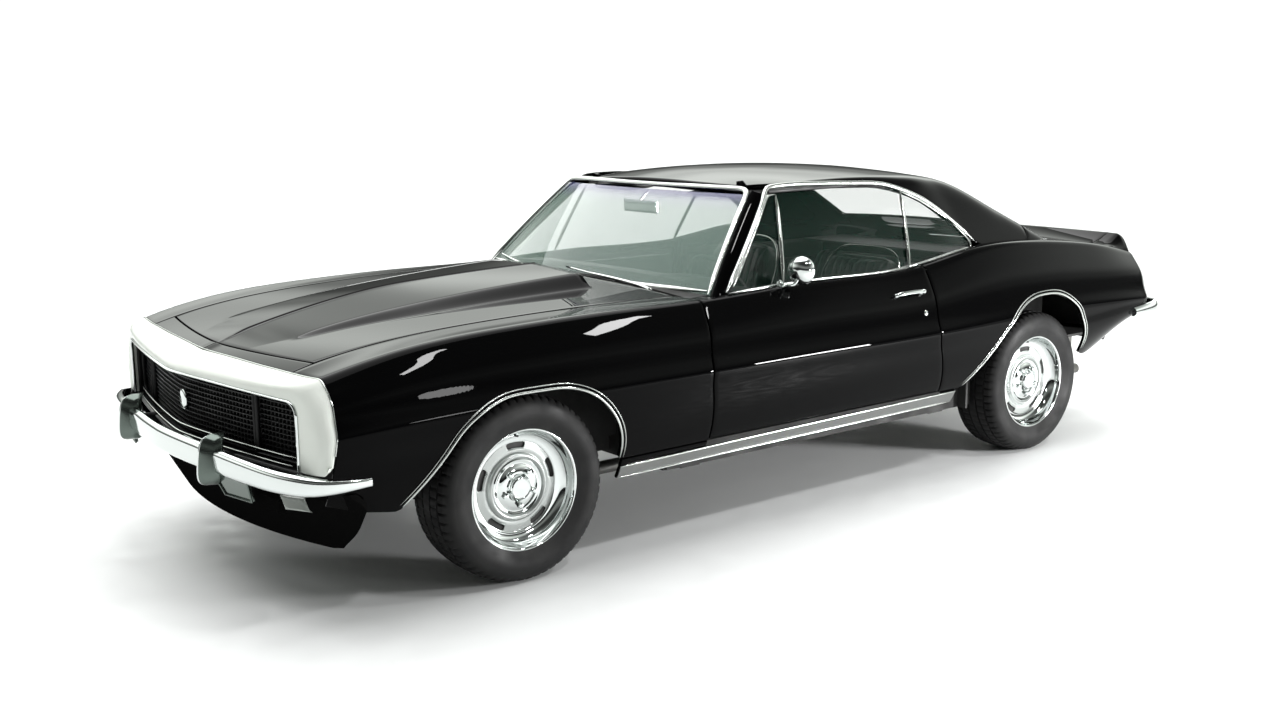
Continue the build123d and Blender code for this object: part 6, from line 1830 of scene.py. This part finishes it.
def pleats(co, no, across, along, half_across, half_along, count, facing, depth=.005, border=.80):
    """Pushes sewn channels and a border seam into the side that faces a direction."""
    u, v = co[:, across] / half_across, co[:, along] / half_along
    face = smooth_step(no @ np.asarray(facing, float), .35, .75)
    inside = (np.abs(u) < border - .10) & (np.abs(v) < border)
    phase = u * count / 2 / (border - .10)
    valley = np.exp(-((phase - np.round(phase)) / .10) ** 2) * inside
    edge = np.maximum(np.abs(u) / (border - .08), np.abs(v) / border)
    seam = np.exp(-((edge - 1) / .022) ** 2)
    drop = face * (valley * depth + seam * depth * 1.3)
    return co - no * drop[:, None]


def lean(degrees):
    """Turn about Y that leans a back rest's own upright to the rear."""
    a = np.radians(degrees)
    return np.array([(np.cos(a), 0, np.sin(a)), (0, 1, 0), (-np.sin(a), 0, np.cos(a))])


BACK_LEAN = 19


def add_front_seats():
    """Two bucket seats: cushion and back rest with bolsters and pleats, a bright trim line, a skirt and runners."""
    def shape_cushion(co, no):
        """Side bolsters raised by 22 mm and the front edge lowered by as much, then sewn channels."""
        side = smooth_step(np.abs(co[:, 1]), .135, .200) * (1 - smooth_step(np.abs(co[:, 1]), .205, .235) * .4)
        top = smooth_step(co[:, 2], -.01, .04)
        co = co + spots(0 * side, 0 * side, .022 * side * top)
        front = smooth_step(-co[:, 0], .12, .25)
        co = co - spots(0 * front, 0 * front, .022 * front * top)
        return pleats(co, no, 1, 0, .225, .245, 8, (0, 0, 1))

    def shape_back(co, no):
        """Side bolsters up to 22 mm forward, less towards the top, which narrows by 14 percent; then channels."""
        side = smooth_step(np.abs(co[:, 1]), .130, .195) * (1 - smooth_step(np.abs(co[:, 1]), .2, .23) * .4)
        front = smooth_step(-co[:, 0], -.01, .03)
        low = 1 - smooth_step(co[:, 2], .06, .22)
        co = co - spots(.022 * side * front * (.3 + .7 * low), 0 * side, 0 * side)
        narrow = 1 - .14 * smooth_step(co[:, 2], .05, .25)
        co = co * spots(np.ones(len(co)), narrow, np.ones(len(co)))
        return pleats(co, no, 1, 2, .222, .240, 8, (-1, 0, 0))

    seat_y = .380
    cushion("cushion_left", (.250, .226, .075), shape_cushion, np.eye(3), (.320, -seat_y, .440),
            copies=[("cushion_right", (.320, seat_y, .440))])
    turn = lean(BACK_LEAN)
    centre = np.array([.655, 0, .700])
    cushion("back_rest_left", (.058, .224, .240), shape_back, turn, centre + (0, -seat_y, 0),
            copies=[("back_rest_right", centre + (0, seat_y, 0))])
    for side, sign in SIDES:
        here = centre + (0, sign * seat_y, 0)
        a = np.linspace(-.16, np.pi + .16, 60)
        y, z = np.cos(a), np.sin(a)
        line = spots(-.012 + 0 * a, .229 * np.sign(y) * np.abs(y) ** .45 * (1 - .13 * np.clip(z, 0, 1)),
                     np.where(z > 0, .015 + .236 * np.clip(z, 0, 1) ** .42, .015 + z * 1.2))
        path = resample(line, 90) @ turn.T + here
        trim = sweep(path, oval(.009, .012, 10), turn @ np.array([1, 0, 0]))
        solid(f"seat_trim_{side}", trim, TRIM)
        u, v = lattice(np.linspace(-1, 1, 19), np.linspace(-1, 1, 19))
        bulge = (1 - u**4) * (1 - v**4)
        shell = spots(.050 + .018 * bulge, .196 * u * (1 - .10 * np.clip(v, 0, 1)), .006 + .222 * v)
        shell = shell.reshape(-1, 3) @ turn.T + here
        solid(f"seat_back_panel_{side}", sheet(shell.reshape(19, 19, 3), .010, (1, 0, 0)), CABIN, f"seat_{side}",
              slot="seat_cover")
        c, s = circle(60)
        plan = spots(drawn(c, .35), drawn(s, .35))
        rings = [np.concatenate([plan * (w, d) + (.330, sign * seat_y), np.full((60, 1), z)], 1)
                 for w, d, z in ((.190, .165, .290), (.205, .178, .300), (.222, .196, .350), (.232, .206, .385),
                                 (.236, .210, .400), (.225, .200, .405))]
        solid(f"seat_skirt_{side}", stacked(rings), CABIN, slot="seat_cover")
        rails = [sweep(np.linspace((.11, sign * seat_y + dy, .272), (.57, sign * seat_y + dy, .272), 8),
                       oval(.030, .034, 10, 4), (0, 0, 1)) for dy in (-.15, .15)]
        solid(f"seat_runners_{side}", join(rails), STEEL)


def add_rear_seat():
    """Rear bench: a cushion and a back rest, each sewn as two places with a plain band between."""
    def two_places(co, no, along, half_along, facing):
        """The channels of one place to each side of the middle, with a rounded dip between them."""
        y = np.abs(co[:, 1]) - .285
        local = spots(co[:, 0], y, co[:, 2])
        moved = pleats(local, no * spots(np.ones(len(co)), np.sign(co[:, 1]), np.ones(len(co))), 1, along, .255,
                       half_along, 8, facing)
        moved = moved - local
        moved[:, 1] *= np.sign(co[:, 1])
        dip = .012 * np.exp(-(co[:, 1] / .05) ** 2) * smooth_step(no @ np.asarray(facing, float), .3, .8)
        return co + moved - no * dip[:, None]

    def shape_cushion(co, no):
        return two_places(co, no, 0, .225, (0, 0, 1))

    def shape_back(co, no):
        return two_places(co, no, 2, .185, (-1, 0, 0))

    cushion("rear_cushion", (.225, .560, .052), shape_cushion, lean(-4), (1.115, 0, .482), .015, .020)
    pieces = cushion("rear_back_rest", (.050, .560, .186), shape_back, lean(20), (1.310, 0, .665), .015, .020)
    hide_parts("rear_seat")


# ---------------------------------------------------------------- cabin


def rounded_slab(u_half, v_half, rise, power=6, count=30):
    """A crowned panel's grid: (across, along, lift), the lift falling to zero at a rounded rectangle's edge."""
    u, v = lattice(np.linspace(-1, 1, count), np.linspace(-1, 1, count))
    lift = rise * (1 - np.abs(u) ** power) ** .5 * (1 - np.abs(v) ** power) ** .5
    return u * u_half, v * v_half, lift


def add_door_trim():
    """Inside of the doors: crowned panel, sewn lines, arm rest, crank and pull, and bright strips."""
    u, v, lift = rounded_slab(.545, .225, .012, 16, 44)
    x = -.030 + u + .02 * (v / .225)
    ribs = .0025 * np.abs(np.sin((v + .225) / .450 * np.pi * 9)) * (v > -.05) * (v < .12)
    part = sheet(spots(x, -.745 + lift + ribs, .640 + v), .006, (0, 1, 0))
    both_sides("door_trim", part, VINYL, body="door_{}")
    xs = np.linspace(-.22, .26, 40)
    depth = .050 * np.sin(np.clip((xs + .22) / .48, 0, 1) * np.pi) ** .35
    path = spots(xs, np.full(40, -.722), .655 + .012 * (xs / .24))
    rest = sweep(path, oval(.062, .050, 18, 3.2), (0, 0, 1), scale=.35 + .65 * depth / .05)
    both_sides("arm_rest", rest, VINYL, body="door_{}")
    bright = []
    for z, a, b in ((.455, -.53, .47), (.832, -.54, .50)):
        line = spots(np.linspace(a, b, 40), np.full(40, -.7315), np.full(40, z))
        bright.append(moulding(line, .010, .004, (0, 1, 0)))
    crank = curve([(-.02, -.728, .560), (-.02, -.700, .560), (.02, -.698, .556), (.078, -.700, .548)], 16)
    bright.append(sweep(crank, oval(.010, .007, 10), (0, 0, 1)))
    bright.append(sweep(np.array([(.074, -.706, .548), (.074, -.690, .548), (.074, -.676, .548)]),
                        oval(.016, .016, 14), (0, 0, 1), scale=np.array([.7, 1, .6])))
    pull = curve([(-.36, -.728, .742), (-.36, -.700, .744), (-.33, -.694, .744), (-.25, -.696, .742)], 16)
    bright.append(sweep(pull, oval(.014, .008, 10), (0, 0, 1)))
    both_sides("door_brightwork", join(bright), CHROME, body="door_{}")
    u, v, lift = rounded_slab(.165, .205, .010, 16, 26)
    part = sheet(spots(.782 + u, -.738 + lift, .655 + v), .006, (0, 1, 0))
    both_sides("quarter_trim", part, VINYL)
    u, v, lift = rounded_slab(.26, .10, .010, 10, 22)
    part = sheet(spots(1.21 + u, -.620 + lift, .765 + v), .006, (0, 1, 0))
    both_sides("quarter_trim_rear", part, VINYL)


def add_dashboard():
    """Padded top, instrument panel with two large dials and small ones, glove box, heater and radio panels."""
    y = np.linspace(-.725, .725, 64)
    hump = .016 * np.exp(-((y + .37) / .17) ** 4)
    roll_line = curve([(-.440, .872), (-.400, .886), (-.300, .892), (-.222, .882), (-.192, .862), (-.196, .838),
                     (-.230, .828)], 18)
    rows = []
    for x, z in roll_line:
        reach = np.clip((x + .42) / .20, 0, 1)
        rows.append(spots(np.full(64, x) - .012 * (y / .72) ** 2 * reach, y,
                          z - .004 + hump * reach * (z > .84) - .008 * (y / .72) ** 2))
    solid("dash_pad", sheet(np.array(rows), .008, (0, 0, 1)), VINYL)
    face_x = -.207
    u, v = lattice(np.linspace(-1, 1, 60), np.linspace(-1, 1, 16))
    panel = spots(face_x - .020 * (1 - v) * .5 + .004 * (1 - u**8), .700 * u, .755 + .072 * v)
    solid("dash_face", sheet(panel, .006, (1, 0, 0)), SATIN_BLACK, slot="cabin_black")
    rims, dials, marks = [], [], []

    def ring(cy, cz, r):
        """A dial: its bright ring, its face, the marks round it and its hand."""
        loop, *face = rings_about((face_x, cy, cz), (1, 0, 0), (0, 1, 0), (0, 0, 1), 48, [
            (r, .010), (r, .003), (r * .97, .007), (r * .4, .0065), (.0005, .0065)])
        rims.append(sweep(loop, oval(.006, .012, 10), (1, 0, 0), closed=True))
        dials.append(stacked(face, False, False))
        for t in np.radians(np.linspace(-130, 130, 14)):
            c, s = np.sin(t), np.cos(t)
            line = np.array([(face_x + .0085, cy + c * r * q, cz + s * r * q) for q in (.80, .88, .95)])
            marks.append(sweep(line, oval(.0016, .001, 4), (1, 0, 0)))
        hand = np.array([(face_x + .010, cy, cz), (face_x + .010, cy - r * .3, cz - r * .3),
                         (face_x + .010, cy - r * .55, cz - r * .55)])
        marks.append(sweep(hand, oval(.003, .001, 4), (1, 0, 0), scale=np.array([1, .8, .3])))

    ring(-.455, .768, .052)
    ring(-.290, .768, .052)
    ring(-.372, .790, .022)
    for cy in (-.10, -.035, .03):
        ring(cy, .735, .021)
    for cy in (-.095, .015):
        rims.append(closed_knob((face_x + .004, cy, .800), .012, .022))
    c, s = circle(60)
    box = spots(np.full(60, face_x + .006), .40 + .24 * drawn(c, .2), .758 + .052 * drawn(s, .2))
    rims.append(sweep(box, oval(.004, .004, 8), (1, 0, 0), closed=True))
    solid("dash_rims", join(rims), CHROME)
    solid("dash_dials", join(dials), DIAL)
    solid("dash_marks", join(marks), MARK)


def closed_knob(place, radius, reach):
    """A turned knob standing along X."""
    path = np.array(place) + np.linspace(0, reach, 6)[:, None] * np.array([1, 0, 0])
    return sweep(path, oval(2 * radius, 2 * radius, 18), (0, 0, 1), scale=np.array([1.2, 1, .9, .9, .85, .5]))


def add_steering_wheel():
    """Thin black rim with finger grips, three bright spokes and a padded hub, on the column's slant."""
    hub = np.array([-.140, -.370, .800])
    slope = np.radians(24)
    axis = np.array([np.cos(slope), 0, np.sin(slope)])
    side = np.array([0, 1.0, 0])
    up = np.cross(axis, side)
    up = up if up[2] > 0 else -up
    a = np.linspace(0, 2 * np.pi, 144, endpoint=False)
    loop = hub + .180 * (np.cos(a)[:, None] * side + np.sin(a)[:, None] * up)
    grips = 1 + .05 * np.sin(a * 36)
    rim = sweep(loop, oval(.019, .022, 14), axis, closed=True, scale=grips)
    solid("wheel_rim", rim, CABIN, "steering_wheel", body="steering_wheel", smooth=60)
    spokes = []
    for angle in np.radians((-90, 15, 165)):
        way = np.cos(angle) * side + np.sin(angle) * up
        f = np.linspace(0, 1, 14)[:, None]
        path = hub - axis * .026 * (1 - f) ** 1.5 + way * lerp(.030, .176, f)
        spokes.append(sweep(path, oval(.030, .0045, 14, 4), axis, scale=lerp(1.15, .80, f[:, 0])))
    solid("wheel_spokes", join(spokes), TRIM, body="steering_wheel")
    rings = rings_about(hub, axis, side, up, 48, [
        (.030, -.060), (.036, -.045), (.046, -.030), (.052, -.020), (.052, -.012), (.046, -.005), (.030, .000),
        (.012, .002), (.0005, .002)])
    solid("wheel_hub", stacked(rings, True, False), CABIN, body="steering_wheel")


def add_cabin_small():
    """Inside mirror on its stem, sun visors, floor carpet, shift lever and pedals."""
    u, v, lift = rounded_slab(.110, .026, .010, 4, 18)
    case = sheet(spots(-.262 - lift, u, 1.150 + v), .012, (-1, 0, 0))
    stem = sweep(curve([(-.215, 0, 1.212), (-.232, 0, 1.195), (-.262, 0, 1.180), (-.262, 0, 1.158)], 14),
                 oval(.012, .010, 10), (0, 1, 0))
    solid("inside_mirror", join([case, stem]), TRIM)
    glass = sheet(spots(-.2485 + 0 * u, u * .95, 1.150 + v * .92), .002, (1, 0, 0), .0005)
    solid("inside_mirror_glass", glass, MIRROR_GLASS)
    u, v, lift = rounded_slab(.150, .065, .009, 6, 18)
    visor = spots(-.085 + v, -.330 + u, 1.212 + .10 * v - lift)
    both_sides("sun_visor", sheet(visor, .009, (0, 0, -1)), HEADLINER)
    x, y = lattice(np.linspace(-.68, .88, 32), np.linspace(-.700, .700, 57))
    tunnel = .18 * smooth_step(-np.abs(y), -.165, -.115)
    wave = .002 * np.sin(x * 23) * np.sin(y * 19)
    solid("carpet", sheet(spots(x, y, .268 + tunnel + wave), .006), CARPET)
    lever = curve([(.020, 0, .455), (.015, 0, .520), (-.020, 0, .580), (-.035, 0, .640)], 20)
    stick = sweep(lever, oval(.012, .012, 12), (0, 1, 0))
    solid("shift_lever", stick, CHROME)
    knob = sweep(np.linspace((-.034, 0, .632), (-.040, 0, .672), 9), oval(.042, .042, 20), (0, 1, 0),
                 scale=np.sin(np.linspace(.25, np.pi - .15, 9)) ** .7)
    boot = sweep(np.linspace((.022, 0, .444), (.016, 0, .520), 12), oval(.110, .110, 24, 3), (0, 1, 0),
                 scale=np.interp(np.linspace(0, 1, 12), [0, .1, .5, 1],
                                 [1.1, .95, .5, .18]) * (1 + .06 * np.cos(np.arange(12) * np.pi)))
    solid("shift_boot", join([knob, boot]), VINYL)
    pads = []
    for y, z in ((-.46, .42), (-.36, .42), (-.25, .36)):
        u, v, lift = rounded_slab(.030, .028, .004, 6, 12)
        pads.append(sheet(spots(-.530 + .4 * v + lift, y + u, z + v), .006, (1, 0, .3)))
        pads.append(sweep(curve([(-.545, y, z), (-.590, y, z + .10), (-.600, y, z + .25)], 10), oval(.014, .010, 8),
                          (0, 1, 0)))
    solid("pedals", join(pads), CABIN)


add_front_seats()
add_rear_seat()
add_door_trim()
add_dashboard()
add_steering_wheel()
add_cabin_small()

# ---------------------------------------------------------------- solids that stay, refinished


def refinish(material, *names):
    """Gives solids that stay a finish of their own; their slots stay."""
    for name in names:
        mesh = NODES[name].data
        mesh.materials.clear()
        mesh.materials.append(material)
        mesh.polygons.foreach_set("material_index", np.zeros(len(mesh.polygons), np.int32))


refinish(FLAT_BLACK, "floor_pan", "front_frame", "rear_axle", "firewall")
refinish(APRON_BLACK, "front_apron")
refinish(IRON, "engine_block", "knuckle_left", "knuckle_right")
refinish(STEEL, "fuel_tank", "exhaust")
refinish(CABIN, "dashboard")


# ---------------------------------------------------------------- camera, floor and light


def add_camera():
    """The camera, from its place and its turns about the upright, the level and its own line of sight."""
    yaw, pitch, roll = np.radians((37.99, 10.80, -.43))
    ahead = np.array([np.sin(yaw) * np.cos(pitch), np.cos(yaw) * np.cos(pitch), -np.sin(pitch)])
    right = np.array([np.cos(yaw), -np.sin(yaw), 0])
    up = np.cross(right, ahead)
    right, up = np.cos(roll) * right + np.sin(roll) * up, -np.sin(roll) * right + np.cos(roll) * up
    data = bpy.data.cameras.new("camera")
    data.sensor_width, data.lens = 36, 36 * 1358.84 / 1280
    camera = bpy.data.objects.new("camera", data)
    bpy.context.scene.collection.objects.link(camera)
    turn = Matrix([list(row) for row in spots(right, up, -ahead)]).to_4x4()
    camera.matrix_world = Matrix.Translation((-3.7821, -4.5014, 1.5831)) @ turn
    bpy.context.scene.camera = camera


def add_light(name, size, place, aim, power):
    """A flat white studio lamp (width, height) at a place, facing the point aimed at."""
    data = bpy.data.lights.new(name, "AREA")
    data.shape, (data.size, data.size_y) = "RECTANGLE", size
    data.energy = power
    lamp = bpy.data.objects.new(name, data)
    bpy.context.scene.collection.objects.link(lamp)
    lamp.matrix_world = Matrix.Translation(place) @ (
        Vector(place) - Vector(aim)).to_track_quat("Z", "Y").to_matrix().to_4x4()
    return lamp


def add_world():
    """Pale all round to the eye; to the surfaces a soft gradient by height, brighter near the horizon."""
    world = bpy.data.worlds.new("studio")
    bpy.context.scene.world = world
    world.use_nodes = True
    tree = world.node_tree
    tree.nodes.clear()
    link = tree.links.new
    out = tree.nodes.new("ShaderNodeOutputWorld")
    sky, paper = tree.nodes.new("ShaderNodeBackground"), tree.nodes.new("ShaderNodeBackground")
    paper.inputs["Color"].default_value, paper.inputs["Strength"].default_value = (1, 1, 1, 1), 1.1
    where = tree.nodes.new("ShaderNodeTexCoord")
    axes = tree.nodes.new("ShaderNodeSeparateXYZ")
    link(where.outputs["Generated"], axes.inputs[0])
    ramp = tree.nodes.new("ShaderNodeValToRGB")
    ramp.color_ramp.interpolation = "EASE"
    stops = ramp.color_ramp.elements
    for place, value in ((.0, .022), (.06, .036), (.13, .14), (.21, .50), (.32, .98), (.44, .62), (.60, .16),
                         (.90, .13), (.99, .3)):
        stop = stops.new(place)
        stop.color = (value * .96, value, value * .95, 1)
    stops.remove(stops[-1])
    link(axes.outputs["Z"], ramp.inputs["Fac"])
    toward = tree.nodes.new("ShaderNodeVectorMath")
    toward.operation = "DOT_PRODUCT"
    toward.inputs[1].default_value = (.616, .788, 0)
    link(where.outputs["Generated"], toward.inputs[0])
    side = tree.nodes.new("ShaderNodeMapRange")
    for key, value in zip(("From Min", "From Max", "To Min", "To Max"), (-.6, .9, .28, 3.3)):
        side.inputs[key].default_value = value
    link(toward.outputs["Value"], side.inputs["Value"])
    link(side.outputs["Result"], sky.inputs["Strength"])
    link(ramp.outputs["Color"], sky.inputs["Color"])
    seen = tree.nodes.new("ShaderNodeLightPath")
    mix = tree.nodes.new("ShaderNodeMixShader")
    link(seen.outputs["Is Camera Ray"], mix.inputs[0])
    link(sky.outputs[0], mix.inputs[1])
    link(paper.outputs[0], mix.inputs[2])
    link(mix.outputs[0], out.inputs[0])


def add_floor():
    """The pale ground, which belongs to the stage."""
    bpy.ops.mesh.primitive_plane_add(size=240, location=(0, 0, 0))
    floor = bpy.context.object
    floor.name = "floor"
    floor.data.materials.append(finish("pale_floor", (.86, .87, .87), .55, grain=[(30, .0001)]))


bpy.context.scene.view_settings.view_transform = "Standard"
add_camera()
add_world()
add_floor()
sun = bpy.data.objects.new("soft_sun", bpy.data.lights.new("soft_sun", "SUN"))
bpy.context.scene.collection.objects.link(sun)
sun.data.energy, sun.data.angle = 3.3, np.radians(75)
sun.matrix_world = Vector((.1, .45, 1)).to_track_quat("Z", "Y").to_matrix().to_4x4()
add_light("door_strip", (.85, .34), (3.25, -4.4, .82), (-.2, -.92, .64), 330)
add_light("fender_strip", (.62, .16), (1.63, -2.88, 3.85), (-1.02, -.83, .84), 42)
add_light("front_fender_strip", (.45, .15), (-.33, -2.88, 3.93), (-1.76, -.83, .81), 26)
add_light("soft_patch", (.40, .34), (.47, -5.34, 1.36), (-1.7, -.88, .70), 14).data.shape = "ELLIPSE"
